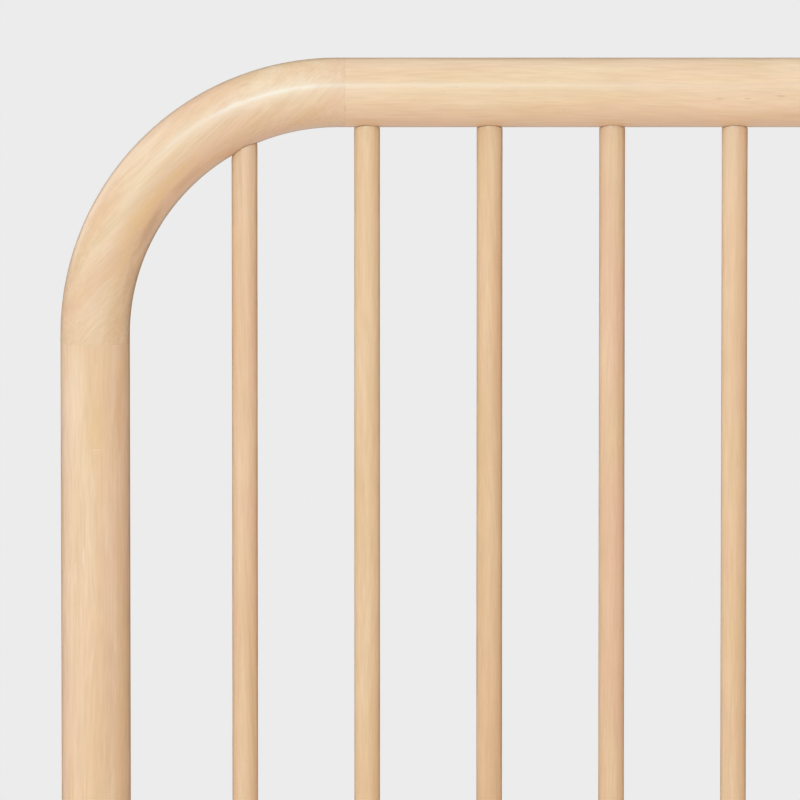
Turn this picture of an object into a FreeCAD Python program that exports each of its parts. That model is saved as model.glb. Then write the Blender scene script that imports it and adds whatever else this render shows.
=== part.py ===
import FreeCAD
import Part
import Sketcher
import math
import os

# A single spindle bed in pale solid wood, for a mattress of 990 x 1905 mm.
#
# The headboard and the lower footboard are arches of one round stock: two posts that run down
# to the floor, two bent corners and a straight top rail, doweled end to end.  Straight round
# spindles stand between each arch and a thinner lower rail that is let into the posts.
# Two boards run from post to post, coped to the round posts and drawn up by two bolts and
# barrel nuts at each corner.  A ledge inside each board carries the slats, and a beam under
# the slats hooks over both lower rails and stands on one leg with a screw foot.
#
# Millimetres.  X is the width, Y the length with the headboard at +Y, Z is up.
# The origin is on the floor, at the middle of the bed.

SIZES = {
    # the mattress and the room left round it
    "mattress_width": 990,
    "mattress_length": 1905,
    "mattress_side_gap": 7.5,
    "mattress_end_gap": 12.5,
    # the two arches, measured from the tops of the side rails
    "headboard_rise": 717,
    "footboard_rise": 260,
    "rail_diameter": 51,
    "elbow_radius": 178,
    "elbow_straight_end": 6,
    "lower_rail_diameter": 38,
    "lower_rail_rise": 5,
    "lower_rail_insert": 16,
    "post_foot_chamfer": 2,
    # spindles
    "spindle_diameter": 19,
    "spindle_count": 10,
    "spindle_end_offset": 110,
    "spindle_top_insert": 16,
    "spindle_foot_insert": 14,
    "spindle_chamfer": 1,
    # glued joints
    "glue_gap": 0.1,
    "hole_end_gap": 0.3,
    "frame_dowel_diameter": 10,
    "frame_dowel_length": 60,
    "frame_dowel_spacing": 22,
    "rail_dowel_diameter": 8,
    "rail_dowel_length": 40,
    "rail_dowel_post_depth": 16,
    "dowel_chamfer": 1,
    # nylon glides under the posts
    "glide_diameter": 40,
    "glide_thickness": 5,
    "glide_chamfer": 1,
    "glide_pin_diameter": 6,
    "glide_pin_length": 20,
    # side rails and the bolts that hold them
    "side_rail_thickness": 25,
    "side_rail_height": 120,
    "side_rail_bottom": 230,
    "side_rail_edge_radius": 6,
    "bolt_diameter": 8,
    "bolt_overrun": 5,
    "bolt_hole_clearance": 0.3,
    "bolt_head_diameter": 17,
    "bolt_head_thickness": 3.5,
    "bolt_head_chamfer": 0.8,
    "bolt_socket_width": 5,
    "bolt_socket_depth": 2.4,
    "bolt_recess_depth": 7,
    "bolt_recess_clearance": 0.5,
    "bolt_edge_offset": 40,
    "bolt_spacing": 50,
    "barrel_nut_diameter": 12,
    "barrel_nut_length": 18,
    "barrel_nut_setback": 35,
    "barrel_nut_slot_width": 1.6,
    "barrel_nut_slot_depth": 1.5,
    # ledges and slats
    "ledge_width": 25,
    "ledge_height": 32,
    "ledge_nut_gap": 7,
    "ledge_edge_chamfer": 2,
    "slat_count": 12,
    "slat_width": 89,
    "slat_thickness": 18,
    "slat_recess": 47,
    "slat_end_gap": 1.5,
    "slat_edge_radius": 3,
    # wood screws
    "screw_diameter": 4,
    "screw_head_diameter": 8,
    "screw_rim": 0.3,
    "screw_point_length": 4,
    "screw_clearance": 0.1,
    "screw_cross_span": 4.4,
    "screw_cross_width": 1.1,
    "screw_cross_depth": 1.4,
    "slat_screw_bite": 18,
    "ledge_screw_bite": 17,
    "beam_screw_bite": 19,
    # centre beam, its leg and the screw foot
    "beam_width": 25,
    "beam_overhang": 12,
    "beam_edge_chamfer": 1.5,
    "leg_diameter": 50,
    "leg_slot_depth": 35,
    "leg_slot_clearance": 0.2,
    "leg_floor_gap": 24,
    "leg_edge_chamfer": 2,
    "cross_bolt_diameter": 6,
    "cross_bolt_head_diameter": 12,
    "cross_bolt_head_thickness": 3.5,
    "cross_bolt_socket_width": 4,
    "cross_bolt_recess_depth": 6,
    "cross_nut_width": 10,
    "cross_nut_thickness": 5,
    "insert_diameter": 12,
    "insert_length": 18,
    "insert_flange_diameter": 17,
    "insert_flange_thickness": 1.5,
    "stem_diameter": 8,
    "stem_top_level": 60,
    "stem_chamfer": 1,
    "stem_bore_clearance": 0.5,
    "stem_top_room": 12,
    "thread_clearance": 0.05,
    "foot_pad_diameter": 32,
    "foot_pad_height": 10,
    "foot_pad_chamfer": 1.5,
    "foot_pad_floor": 4,
    "foot_neck_diameter": 6,
    "foot_button_diameter": 10,
    "foot_button_thickness": 3,
    "foot_snap_clearance": 0.3,
    "foot_hex_width": 13,
    "foot_hex_height": 5,
}

AXIS_X = FreeCAD.Vector(1, 0, 0)
AXIS_Y = FreeCAD.Vector(0, 1, 0)
AXIS_Z = FreeCAD.Vector(0, 0, 1)


class Size:
    """A length that carries both its value and the expression that gives it from the sheet."""

    def __init__(self, value, text):
        self.value = value
        self.text = text

    def __add__(self, other):
        other = as_size(other)
        return Size(self.value + other.value, f"({self.text} + {other.text})")

    def __sub__(self, other):
        other = as_size(other)
        return Size(self.value - other.value, f"({self.text} - {other.text})")

    def __mul__(self, other):
        other = as_size(other)
        return Size(self.value * other.value, f"({self.text} * {other.text})")

    def __truediv__(self, other):
        other = as_size(other)
        return Size(self.value / other.value, f"({self.text} / {other.text})")

    def __neg__(self):
        return Size(-self.value, f"(0 - {self.text})")

    __radd__ = __add__
    __rmul__ = __mul__

    def __rsub__(self, other):
        return as_size(other) - self


def as_size(number):
    return number if isinstance(number, Size) else Size(float(number), repr(float(number)))


def square_root(size):
    return Size(math.sqrt(size.value), f"sqrt({size.text})")


ZERO = as_size(0)


class Sheet:
    """The spreadsheet of driving sizes: sheet.rail_diameter is the Size in that cell."""

    def __init__(self, document):
        self.cells = document.addObject("Spreadsheet::Sheet", "sizes")
        for row, (alias, number) in enumerate(SIZES.items(), 1):
            self.cells.set(f"A{row}", alias)
            self.cells.set(f"B{row}", str(number))
            self.cells.setAlias(f"B{row}", alias)
        document.recompute()

    def __getattr__(self, alias):
        return Size(float(self.cells.get(alias)), f"sizes.{alias}")


doc = FreeCAD.newDocument("spindle_bed")
sizes = Sheet(doc)
parts = []

# derived sizes

rail_radius = sizes.rail_diameter / 2
lower_rail_radius = sizes.lower_rail_diameter / 2

# post axes: the boards between them are centred on the posts
post_spacing = sizes.mattress_width + 2 * sizes.mattress_side_gap + sizes.side_rail_thickness
board_spacing = sizes.mattress_length + 2 * sizes.mattress_end_gap + sizes.rail_diameter
post_x = post_spacing / 2
board_y = board_spacing / 2

# levels above the floor
side_rail_middle = sizes.side_rail_bottom + sizes.side_rail_height / 2
side_rail_top = sizes.side_rail_bottom + sizes.side_rail_height
headboard_height = side_rail_top + sizes.headboard_rise
footboard_height = side_rail_top + sizes.footboard_rise
lower_rail_level = sizes.side_rail_bottom + sizes.lower_rail_rise
slat_top_level = side_rail_top - sizes.slat_recess
ledge_top_level = slat_top_level - sizes.slat_thickness

# a corner reaches this far from the crossing of the post and rail axes
elbow_reach = sizes.elbow_radius + sizes.elbow_straight_end
elbow_inner_radius = sizes.elbow_radius - rail_radius

spindle_count = int(sizes.spindle_count.value)
spindle_radius = sizes.spindle_diameter / 2
spindle_pitch = (post_spacing - 2 * sizes.spindle_end_offset) / (sizes.spindle_count - 1)
spindle_foot_level = lower_rail_level + lower_rail_radius - sizes.spindle_foot_insert

# bolts and nuts where the side rails meet the posts
lower_bolt_level = sizes.side_rail_bottom + sizes.bolt_edge_offset
bolt_levels = [lower_bolt_level, lower_bolt_level + sizes.bolt_spacing]
rail_dowel_level = lower_bolt_level + sizes.bolt_spacing / 2
bolt_seat = rail_radius - sizes.bolt_recess_depth
bolt_reach = (rail_radius + sizes.barrel_nut_setback + sizes.barrel_nut_diameter / 2
              + sizes.bolt_overrun)
barrel_nut_y = board_y - rail_radius - sizes.barrel_nut_setback

# the ledges end just short of the barrel nuts
ledge_x = post_x - sizes.side_rail_thickness / 2 - sizes.ledge_width / 2
ledge_length = 2 * (barrel_nut_y - sizes.barrel_nut_diameter / 2 - sizes.ledge_nut_gap)
ledge_middle = ledge_top_level - sizes.ledge_height / 2
slat_count = int(sizes.slat_count.value)
slat_length = post_spacing - sizes.side_rail_thickness - 2 * sizes.slat_end_gap
slat_pitch = (ledge_length - sizes.slat_width) / (sizes.slat_count - 1)
first_slat_y = (sizes.slat_width - ledge_length) / 2
# the ledges are screwed on between the first two slats, and then in every second gap
ledge_screw_y = first_slat_y + slat_pitch / 2
ledge_screw_count = slat_count // 2

# the beam runs midway between the two spindles nearest the middle, and its underside is level
# with the axes of the lower rails that it hooks over
beam_x = sizes.spindle_end_offset + spindle_pitch * (spindle_count // 2 - 0.5) - post_x
beam_bottom = lower_rail_level
beam_height = ledge_top_level - beam_bottom
beam_middle = beam_bottom + beam_height / 2
beam_length = board_spacing + 2 * sizes.beam_overhang
leg_length = beam_bottom + sizes.leg_slot_depth - sizes.leg_floor_gap
cross_bolt_level = beam_bottom + sizes.leg_slot_depth / 2
cross_bolt_seat = sizes.leg_diameter / 2 - sizes.cross_bolt_recess_depth
screw_head_depth = sizes.screw_rim + (sizes.screw_head_diameter - sizes.screw_diameter) / 2


# helpers


def bind(item, name, size):
    item.setExpression(name, as_size(size).text)


def place(item, x=ZERO, y=ZERO, z=ZERO, rotation=None):
    item.Placement = FreeCAD.Placement(FreeCAD.Vector(), rotation or FreeCAD.Rotation())
    for axis, size in zip("xyz", (x, y, z)):
        bind(item, f"Placement.Base.{axis}", size)


def turned(degrees):
    return FreeCAD.Rotation(AXIS_Z, degrees)


def pointing(direction):
    return FreeCAD.Rotation(AXIS_Z, direction)


def new_body(label):
    body = doc.addObject("PartDesign::Body", label)
    body.Label = label
    return body


def keep(item):
    """Lists a sub-part for export."""
    parts.append(item)


def origin_feature(body, role):
    return next(f for f in body.Origin.OriginFeatures if f.Role == role)


def new_sketch(body, name, role, offset=None):
    sketch = body.newObject("Sketcher::SketchObject", name)
    sketch.AttachmentSupport = [(origin_feature(body, role), "")]
    sketch.MapMode = "FlatFace"
    if offset is not None:
        bind(sketch, "AttachmentOffset.Base.z", offset)
    return sketch


def fix(sketch, kind, size, *where):
    """Adds a dimension to a sketch and ties it to the sheet."""
    index = sketch.addConstraint(Sketcher.Constraint(kind, *where, size.value))
    bind(sketch, f"Constraints[{index}]", size)


def add_circle(sketch, diameter):
    circle = Part.Circle(FreeCAD.Vector(), AXIS_Z, diameter.value / 2)
    line = sketch.addGeometry(circle, False)
    sketch.addConstraint(Sketcher.Constraint("Coincident", line, 3, -1, 1))
    fix(sketch, "Diameter", diameter, line)


def add_outline(sketch, points):
    """A closed outline of straight lines, each corner tied to the sketch's two axes."""
    corners = [FreeCAD.Vector(as_size(x).value, as_size(y).value, 0) for x, y in points]
    count = len(corners)
    for i in range(count):
        sketch.addGeometry(Part.LineSegment(corners[i], corners[(i + 1) % count]), False)
    for i in range(count):
        sketch.addConstraint(Sketcher.Constraint("Coincident", i, 2, (i + 1) % count, 1))
    for i, (x, y) in enumerate(points):
        for kind, axis, size in (("DistanceX", -2, as_size(x)), ("DistanceY", -1, as_size(y))):
            if size.value == 0:
                sketch.addConstraint(Sketcher.Constraint("PointOnObject", i, 1, axis))
            else:
                fix(sketch, kind, size, -1, 1, i, 1)


def add_rectangle(sketch, width, height):
    """A rectangle centred on the sketch's origin."""
    w, h = width / 2, height / 2
    add_outline(sketch, [(-w, -h), (w, -h), (w, h), (-w, h)])


def pad(body, sketch, length, name="stock", centred=False):
    feature = body.newObject("PartDesign::Pad", name)
    feature.Profile = sketch
    feature.Midplane = centred
    bind(feature, "Length", length)


def turn(body, points, name="turned_stock"):
    """Turns a half outline, given as (radius, height) corners, about the body's Z axis."""
    sketch = new_sketch(body, name + "_outline", "XZ_Plane")
    add_outline(sketch, points)
    feature = body.newObject("PartDesign::Revolution", name)
    feature.Profile = sketch
    feature.ReferenceAxis = (sketch, ["V_Axis"])
    feature.Angle = 360


def drill(body, name, diameter, depth, start, direction):
    """A flat-bottomed hole from start, in the body's own frame, along direction."""
    hole = body.newObject("PartDesign::SubtractiveCylinder", name)
    bind(hole, "Radius", diameter / 2)
    bind(hole, "Height", depth)
    place(hole, *start, pointing(direction))
    return hole


def countersink(body, name, length, start, direction):
    """A screw's hole: a shank hole and a cone that its head sits in."""
    shank = drill(body, name, sizes.screw_diameter + 2 * sizes.screw_clearance, length, start, direction)
    cone = body.newObject("PartDesign::SubtractiveCone", name + "_head")
    bind(cone, "Radius1", sizes.screw_head_diameter / 2 + sizes.screw_clearance + sizes.screw_rim)
    bind(cone, "Radius2", sizes.screw_diameter / 2 + sizes.screw_clearance)
    bind(cone, "Height", screw_head_depth)
    place(cone, *start, pointing(direction))
    return [shank, cone]


def socket(body, name, width, depth, z):
    """A hexagon socket cut down into the top of a head that ends at height z."""
    prism = body.newObject("PartDesign::SubtractivePrism", name)
    prism.Polygon = 6
    bind(prism, "Circumradius", width / math.sqrt(3))
    bind(prism, "Height", depth)
    place(prism, z=z - depth)


def pattern(body, features, role, length, count):
    """Repeats features along one of the body's axes, over that length from first to last."""
    doc.recompute()
    row = body.newObject("PartDesign::LinearPattern", features[0].Name + "_row")
    row.Originals = features
    row.Direction = (origin_feature(body, role), [""])
    bind(row, "Length", length)
    bind(row, "Occurrences", count)
    body.Tip = row


def mirror(body, features, role):
    doc.recompute()
    copy = body.newObject("PartDesign::Mirrored", features[0].Name + "_mirrored")
    copy.Originals = features
    copy.MirrorPlane = (origin_feature(body, role), [""])
    body.Tip = copy


def edges_where(shape, test):
    return [f"Edge{i}" for i, edge in enumerate(shape.Edges, 1) if test(edge)]


def runs_along(edge, direction):
    """True for a straight edge along direction."""
    if not isinstance(edge.Curve, (Part.Line, Part.LineSegment)):
        return False
    return edge.tangentAt(edge.FirstParameter).cross(direction).Length < 1e-6


def lies_at(edge, height):
    box = edge.BoundBox
    return abs(box.ZMin - height.value) < 1e-6 and abs(box.ZMax - height.value) < 1e-6


def dress(body, kind, prop, size, test, name):
    """A fillet or chamfer on the edges of the newest feature that pass the test."""
    doc.recompute()
    base = body.Tip
    feature = body.newObject(f"PartDesign::{kind}", name)
    feature.Base = (base, edges_where(base.Shape, test))
    bind(feature, prop, size)
    body.Tip = feature


def chamfer(body, size, test, name="chamfer"):
    dress(body, "Chamfer", "Size", size, test, name)


def group(label, copies):
    """One node of identical fasteners: a link to the master for each (master, x, y, z, rotation)."""
    links = []
    for number, (master, x, y, z, rotation) in enumerate(copies, 1):
        link = doc.addObject("App::Link", f"{label}_{number}")
        link.LinkedObject = master
        link.LinkTransform = False
        place(link, x, y, z, rotation)
        links.append(link)
    compound = doc.addObject("Part::Compound", label)
    compound.Label = label
    compound.Links = links
    keep(compound)


# the arches


def joint_level(board_height):
    """Height of the seam between a post and its corner."""
    return board_height - rail_radius - elbow_reach


def arch_underside(board_height, offset):
    """Height of the arch's underside at a distance from the post's axis."""
    if offset.value >= sizes.elbow_radius.value:
        return board_height - sizes.rail_diameter
    run = sizes.elbow_radius - offset
    bend_centre = board_height - rail_radius - sizes.elbow_radius
    return bend_centre + square_root(elbow_inner_radius * elbow_inner_radius - run * run)


def spindle_offsets():
    """Distance of each spindle from the nearer post's axis, and its x, from left to right."""
    offsets = []
    for i in range(spindle_count):
        nearer = min(i, spindle_count - 1 - i)
        x = sizes.spindle_end_offset + spindle_pitch * i - post_x
        offsets.append((sizes.spindle_end_offset + spindle_pitch * nearer, x))
    return offsets


def make_post(label, height, left, head):
    """A post: lower rail socket, two bolt holes with sunk heads, and dowel holes."""
    body = new_body(label)
    outer = AXIS_Y if left == head else -AXIS_Y
    outward = outer.y
    length = joint_level(height) - sizes.glide_thickness

    section = new_sketch(body, "section", "XY_Plane")
    add_circle(section, sizes.rail_diameter)
    pad(body, section, length)
    chamfer(body, sizes.post_foot_chamfer, lambda edge: lies_at(edge, ZERO), "foot_chamfer")

    def level(z):
        return z - sizes.glide_thickness

    drill(body, "glide_pin_hole", sizes.glide_pin_diameter + 2 * sizes.glue_gap,
          sizes.glide_pin_length + sizes.hole_end_gap, (ZERO, ZERO, ZERO), AXIS_Z)
    drill(body, "lower_rail_socket", sizes.lower_rail_diameter + 2 * sizes.glue_gap,
          sizes.lower_rail_insert, (rail_radius, ZERO, level(lower_rail_level)), -AXIS_X)
    for side in (-1, 1):
        drill(body, "corner_dowel_hole", sizes.frame_dowel_diameter + 2 * sizes.glue_gap,
              sizes.frame_dowel_length / 2 + sizes.hole_end_gap,
              (ZERO, side * sizes.frame_dowel_spacing / 2, length), -AXIS_Z)
    drill(body, "rail_dowel_hole", sizes.rail_dowel_diameter + 2 * sizes.glue_gap,
          sizes.rail_dowel_post_depth + sizes.hole_end_gap,
          (ZERO, -outward * rail_radius, level(rail_dowel_level)), outer)
    for z in bolt_levels:
        drill(body, "bolt_hole", sizes.bolt_diameter + 2 * sizes.bolt_hole_clearance,
              sizes.rail_diameter, (ZERO, -outward * rail_radius, level(z)), outer)
        drill(body, "bolt_recess", sizes.bolt_head_diameter + 2 * sizes.bolt_recess_clearance,
              sizes.bolt_recess_depth, (ZERO, outward * rail_radius, level(z)), -outer)

    x = -post_x if left else post_x
    y = board_y if head else -board_y
    place(body, x, y, sizes.glide_thickness, turned(0 if left else 180))
    keep(body)


def make_elbow(label, height, left, head):
    """A bent corner: a round section swept up a short straight, a quarter arc and a straight."""
    body = new_body(label)
    reach, radius = elbow_reach.value, sizes.elbow_radius.value

    path = new_sketch(body, "path", "XZ_Plane")
    centre = FreeCAD.Vector(radius, -radius, 0)
    path.addGeometry(Part.LineSegment(FreeCAD.Vector(0, -reach, 0), FreeCAD.Vector(0, -radius, 0)))
    arc = Part.ArcOfCircle(Part.Circle(centre, AXIS_Z, radius), math.pi / 2, math.pi)
    path.addGeometry(arc)
    path.addGeometry(Part.LineSegment(FreeCAD.Vector(radius, 0, 0), FreeCAD.Vector(reach, 0, 0)))
    path.addConstraint(Sketcher.Constraint("PointOnObject", 0, 1, -2))
    path.addConstraint(Sketcher.Constraint("Vertical", 0))
    path.addConstraint(Sketcher.Constraint("Tangent", 0, 2, 1, 2))
    path.addConstraint(Sketcher.Constraint("Tangent", 1, 1, 2, 1))
    path.addConstraint(Sketcher.Constraint("Horizontal", 2))
    path.addConstraint(Sketcher.Constraint("PointOnObject", 2, 2, -1))
    fix(path, "Radius", sizes.elbow_radius, 1)
    fix(path, "DistanceY", elbow_reach, 0, 1, -1, 1)
    fix(path, "DistanceX", elbow_reach, -1, 1, 2, 2)

    section = new_sketch(body, "section", "XY_Plane", -elbow_reach)
    add_circle(section, sizes.rail_diameter)
    sweep = body.newObject("PartDesign::AdditivePipe", "bent_stock")
    sweep.Profile = section
    sweep.Spine = (path, ["Edge1", "Edge2", "Edge3"])

    for side in (-1, 1):
        y = side * sizes.frame_dowel_spacing / 2
        diameter = sizes.frame_dowel_diameter + 2 * sizes.glue_gap
        depth = sizes.frame_dowel_length / 2 + sizes.hole_end_gap
        drill(body, "post_dowel_hole", diameter, depth, (ZERO, y, -elbow_reach), AXIS_Z)
        drill(body, "rail_dowel_hole", diameter, depth, (elbow_reach, y, ZERO), -AXIS_X)

    axis_level = height - rail_radius
    for offset, x in spindle_offsets():
        near_side = x.value < 0
        if near_side and offset.value - spindle_radius.value < elbow_reach.value:
            top = arch_underside(height, offset) + sizes.spindle_top_insert - axis_level
            drill(body, "spindle_hole", sizes.spindle_diameter + 2 * sizes.glue_gap,
                  sizes.elbow_radius + top, (offset, ZERO, -sizes.elbow_radius), AXIS_Z)

    x = -post_x if left else post_x
    y = board_y if head else -board_y
    place(body, x, y, axis_level, turned(0 if left else 180))
    keep(body)


def make_top_rail(label, height, y):
    """The straight of the arch, drilled from below for the spindles between the corners."""
    body = new_body(label)
    half = post_x - elbow_reach
    section = new_sketch(body, "section", "YZ_Plane")
    add_circle(section, sizes.rail_diameter)
    pad(body, section, 2 * half, centred=True)

    holes = [x for offset, x in spindle_offsets()
             if offset.value + spindle_radius.value > elbow_reach.value]
    hole = drill(body, "spindle_hole", sizes.spindle_diameter + 2 * sizes.glue_gap,
                 sizes.spindle_top_insert, (holes[0], ZERO, -rail_radius), AXIS_Z)
    pattern(body, [hole], "X_Axis", spindle_pitch * (len(holes) - 1), len(holes))

    for end, inward in ((-half, AXIS_X), (half, -AXIS_X)):
        for side in (-1, 1):
            drill(body, "corner_dowel_hole", sizes.frame_dowel_diameter + 2 * sizes.glue_gap,
                  sizes.frame_dowel_length / 2 + sizes.hole_end_gap,
                  (end, side * sizes.frame_dowel_spacing / 2, ZERO), inward)
    place(body, y=y, z=height - rail_radius)
    keep(body)


def make_lower_rail(label, y):
    """The thinner rail let into both posts, drilled from above for every spindle."""
    body = new_body(label)
    section = new_sketch(body, "section", "YZ_Plane")
    add_circle(section, sizes.lower_rail_diameter)
    length = post_spacing - sizes.rail_diameter + 2 * sizes.lower_rail_insert - 2 * sizes.hole_end_gap
    pad(body, section, length, centred=True)
    hole = drill(body, "spindle_hole", sizes.spindle_diameter + 2 * sizes.glue_gap,
                 sizes.spindle_foot_insert, (sizes.spindle_end_offset - post_x, ZERO, lower_rail_radius),
                 -AXIS_Z)
    pattern(body, [hole], "X_Axis", post_spacing - 2 * sizes.spindle_end_offset, sizes.spindle_count)
    drill(body, "beam_screw_hole", sizes.screw_diameter + 2 * sizes.screw_clearance,
          sizes.beam_screw_bite + sizes.hole_end_gap, (beam_x, ZERO, lower_rail_radius), -AXIS_Z)
    place(body, y=y, z=lower_rail_level)
    keep(body)


def make_spindle(label, height, offset, x, y):
    """A straight round spindle, let into the lower rail and into the arch at full thickness."""
    body = new_body(label)
    foot = spindle_foot_level + sizes.hole_end_gap
    top = arch_underside(height, offset) + sizes.spindle_top_insert - sizes.hole_end_gap
    section = new_sketch(body, "section", "XY_Plane")
    add_circle(section, sizes.spindle_diameter)
    pad(body, section, top - foot)
    chamfer(body, sizes.spindle_chamfer, lambda edge: lies_at(edge, ZERO) or lies_at(edge, top - foot))
    place(body, x, y, foot)
    keep(body)


def make_board(name, height, head):
    """A whole end of the bed: posts, corners, rails and spindles."""
    y = board_y if head else -board_y
    for side, left in (("left", True), ("right", False)):
        make_post(f"{name}_{side}_post", height, left, head)
        make_elbow(f"{name}_{side}_corner", height, left, head)
    make_top_rail(f"{name}_top_rail", height, y)
    make_lower_rail(f"{name}_lower_rail", y)
    for number, (offset, x) in enumerate(spindle_offsets(), 1):
        make_spindle(f"{name}_spindle_{number:02d}", height, offset, x, y)


# side rails, ledges, slats


def make_side_rail(label, left):
    """A board coped to the round posts, with bolt, barrel nut and dowel holes at each end."""
    body = new_body(label)
    half_thickness = sizes.side_rail_thickness / 2
    section = new_sketch(body, "section", "XZ_Plane")
    add_rectangle(section, sizes.side_rail_thickness, sizes.side_rail_height)
    cope_depth = square_root(rail_radius * rail_radius - half_thickness * half_thickness)
    pad(body, section, board_spacing - 2 * cope_depth, centred=True)
    dress(body, "Fillet", "Radius", sizes.side_rail_edge_radius,
          lambda edge: runs_along(edge, AXIS_Y), "long_edges")

    nut_depth = half_thickness + sizes.barrel_nut_length / 2 + sizes.hole_end_gap
    for end in (-1, 1):
        inward = -end * AXIS_Y
        axis_y = end * board_y
        drill(body, "post_cope", sizes.rail_diameter + 2 * sizes.glue_gap, sizes.side_rail_height,
              (ZERO, axis_y, -sizes.side_rail_height / 2), AXIS_Z)
        for z in bolt_levels:
            drill(body, "bolt_hole", sizes.bolt_diameter + 2 * sizes.bolt_hole_clearance,
                  bolt_reach + sizes.hole_end_gap, (ZERO, axis_y, z - side_rail_middle), inward)
            drill(body, "barrel_nut_hole", sizes.barrel_nut_diameter + 2 * sizes.glue_gap,
                  nut_depth, (half_thickness, end * barrel_nut_y, z - side_rail_middle), -AXIS_X)
        dowel_reach = rail_radius + sizes.rail_dowel_length - sizes.rail_dowel_post_depth
        drill(body, "rail_dowel_hole", sizes.rail_dowel_diameter + 2 * sizes.glue_gap,
              dowel_reach + sizes.hole_end_gap,
              (ZERO, axis_y, rail_dowel_level - side_rail_middle), inward)

    pilot = drill(body, "ledge_screw_hole", sizes.screw_diameter + 2 * sizes.screw_clearance,
                  sizes.ledge_screw_bite + sizes.hole_end_gap,
                  (half_thickness, ledge_screw_y, ledge_middle - side_rail_middle), -AXIS_X)
    pattern(body, [pilot], "Y_Axis", 2 * slat_pitch * (ledge_screw_count - 1), ledge_screw_count)
    place(body, x=-post_x if left else post_x, z=side_rail_middle, rotation=turned(0 if left else 180))
    keep(body)


def make_ledge(label, left):
    """The batten inside a side rail that the slats lie on."""
    body = new_body(label)
    section = new_sketch(body, "section", "XZ_Plane")
    add_rectangle(section, sizes.ledge_width, sizes.ledge_height)
    pad(body, section, ledge_length, centred=True)
    half_width = sizes.ledge_width / 2
    chamfer(body, sizes.ledge_edge_chamfer,
            lambda edge: runs_along(edge, AXIS_Y) and edge.BoundBox.XMin > 0)

    screw = countersink(body, "ledge_screw_hole", sizes.ledge_width,
                        (half_width, ledge_screw_y, ZERO), -AXIS_X)
    pattern(body, screw, "Y_Axis", 2 * slat_pitch * (ledge_screw_count - 1), ledge_screw_count)
    pilot = drill(body, "slat_screw_hole", sizes.screw_diameter + 2 * sizes.screw_clearance,
                  sizes.slat_screw_bite + sizes.hole_end_gap,
                  (ZERO, first_slat_y, sizes.ledge_height / 2), -AXIS_Z)
    pattern(body, [pilot], "Y_Axis", ledge_length - sizes.slat_width, sizes.slat_count)
    place(body, x=-ledge_x if left else ledge_x, z=ledge_middle, rotation=turned(0 if left else 180))
    keep(body)


def make_slat(label, y):
    """A loose board across the ledges and the beam, screwed down at each end."""
    body = new_body(label)
    section = new_sketch(body, "section", "YZ_Plane")
    add_rectangle(section, sizes.slat_width, sizes.slat_thickness)
    pad(body, section, slat_length, centred=True)
    dress(body, "Fillet", "Radius", sizes.slat_edge_radius,
          lambda edge: runs_along(edge, AXIS_X), "long_edges")
    screw = countersink(body, "screw_hole", sizes.slat_thickness,
                        (-ledge_x, ZERO, sizes.slat_thickness / 2), -AXIS_Z)
    mirror(body, screw, "YZ_Plane")
    place(body, y=y, z=slat_top_level - sizes.slat_thickness / 2)
    keep(body)


# centre beam and its foot


def make_beam():
    """The beam under the slats, hooked over both lower rails."""
    body = new_body("centre_beam")
    section = new_sketch(body, "section", "XZ_Plane")
    add_rectangle(section, sizes.beam_width, beam_height)
    pad(body, section, beam_length, centred=True)
    chamfer(body, sizes.beam_edge_chamfer, lambda edge: runs_along(edge, AXIS_Y))
    half_width = sizes.beam_width / 2
    for end in (-1, 1):
        drill(body, "rail_hook", sizes.lower_rail_diameter + 2 * sizes.glue_gap, sizes.beam_width,
              (-half_width, end * board_y, lower_rail_level - beam_middle), AXIS_X)
        countersink(body, "screw_hole", beam_height,
                    (ZERO, end * board_y, beam_height / 2), -AXIS_Z)
    drill(body, "cross_bolt_hole", sizes.cross_bolt_diameter + 2 * sizes.bolt_hole_clearance,
          sizes.beam_width, (-half_width, ZERO, cross_bolt_level - beam_middle), AXIS_X)
    place(body, x=beam_x, z=beam_middle)
    keep(body)


def make_leg():
    """The leg under the beam: slotted to straddle it, bored below for the screw foot."""
    body = new_body("support_leg")
    section = new_sketch(body, "section", "XY_Plane")
    add_circle(section, sizes.leg_diameter)
    pad(body, section, leg_length)
    chamfer(body, sizes.leg_edge_chamfer, lambda edge: lies_at(edge, ZERO) or lies_at(edge, leg_length))

    slot = new_sketch(body, "slot_outline", "XY_Plane", leg_length)
    add_rectangle(slot, sizes.beam_width + 2 * sizes.leg_slot_clearance, 2 * sizes.leg_diameter)
    pocket = body.newObject("PartDesign::Pocket", "beam_slot")
    pocket.Profile = slot
    bind(pocket, "Length", sizes.leg_slot_depth)

    drill(body, "insert_flange_recess", sizes.insert_flange_diameter + 2 * sizes.glue_gap,
          sizes.insert_flange_thickness, (ZERO, ZERO, ZERO), AXIS_Z)
    drill(body, "insert_hole", sizes.insert_diameter + 2 * sizes.glue_gap,
          sizes.insert_length, (ZERO, ZERO, ZERO), AXIS_Z)
    drill(body, "stem_bore", sizes.stem_diameter + 2 * sizes.stem_bore_clearance,
          sizes.stem_top_level + sizes.stem_top_room - sizes.leg_floor_gap, (ZERO, ZERO, ZERO), AXIS_Z)
    level = cross_bolt_level - sizes.leg_floor_gap
    radius = sizes.leg_diameter / 2
    drill(body, "cross_bolt_hole", sizes.cross_bolt_diameter + 2 * sizes.bolt_hole_clearance,
          sizes.leg_diameter, (-radius, ZERO, level), AXIS_X)
    for side in (-1, 1):
        drill(body, "cross_bolt_recess",
              sizes.cross_bolt_head_diameter + 2 * sizes.bolt_recess_clearance,
              sizes.cross_bolt_recess_depth, (side * radius, ZERO, level), -side * AXIS_X)
    place(body, x=beam_x, z=sizes.leg_floor_gap)
    keep(body)


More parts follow.
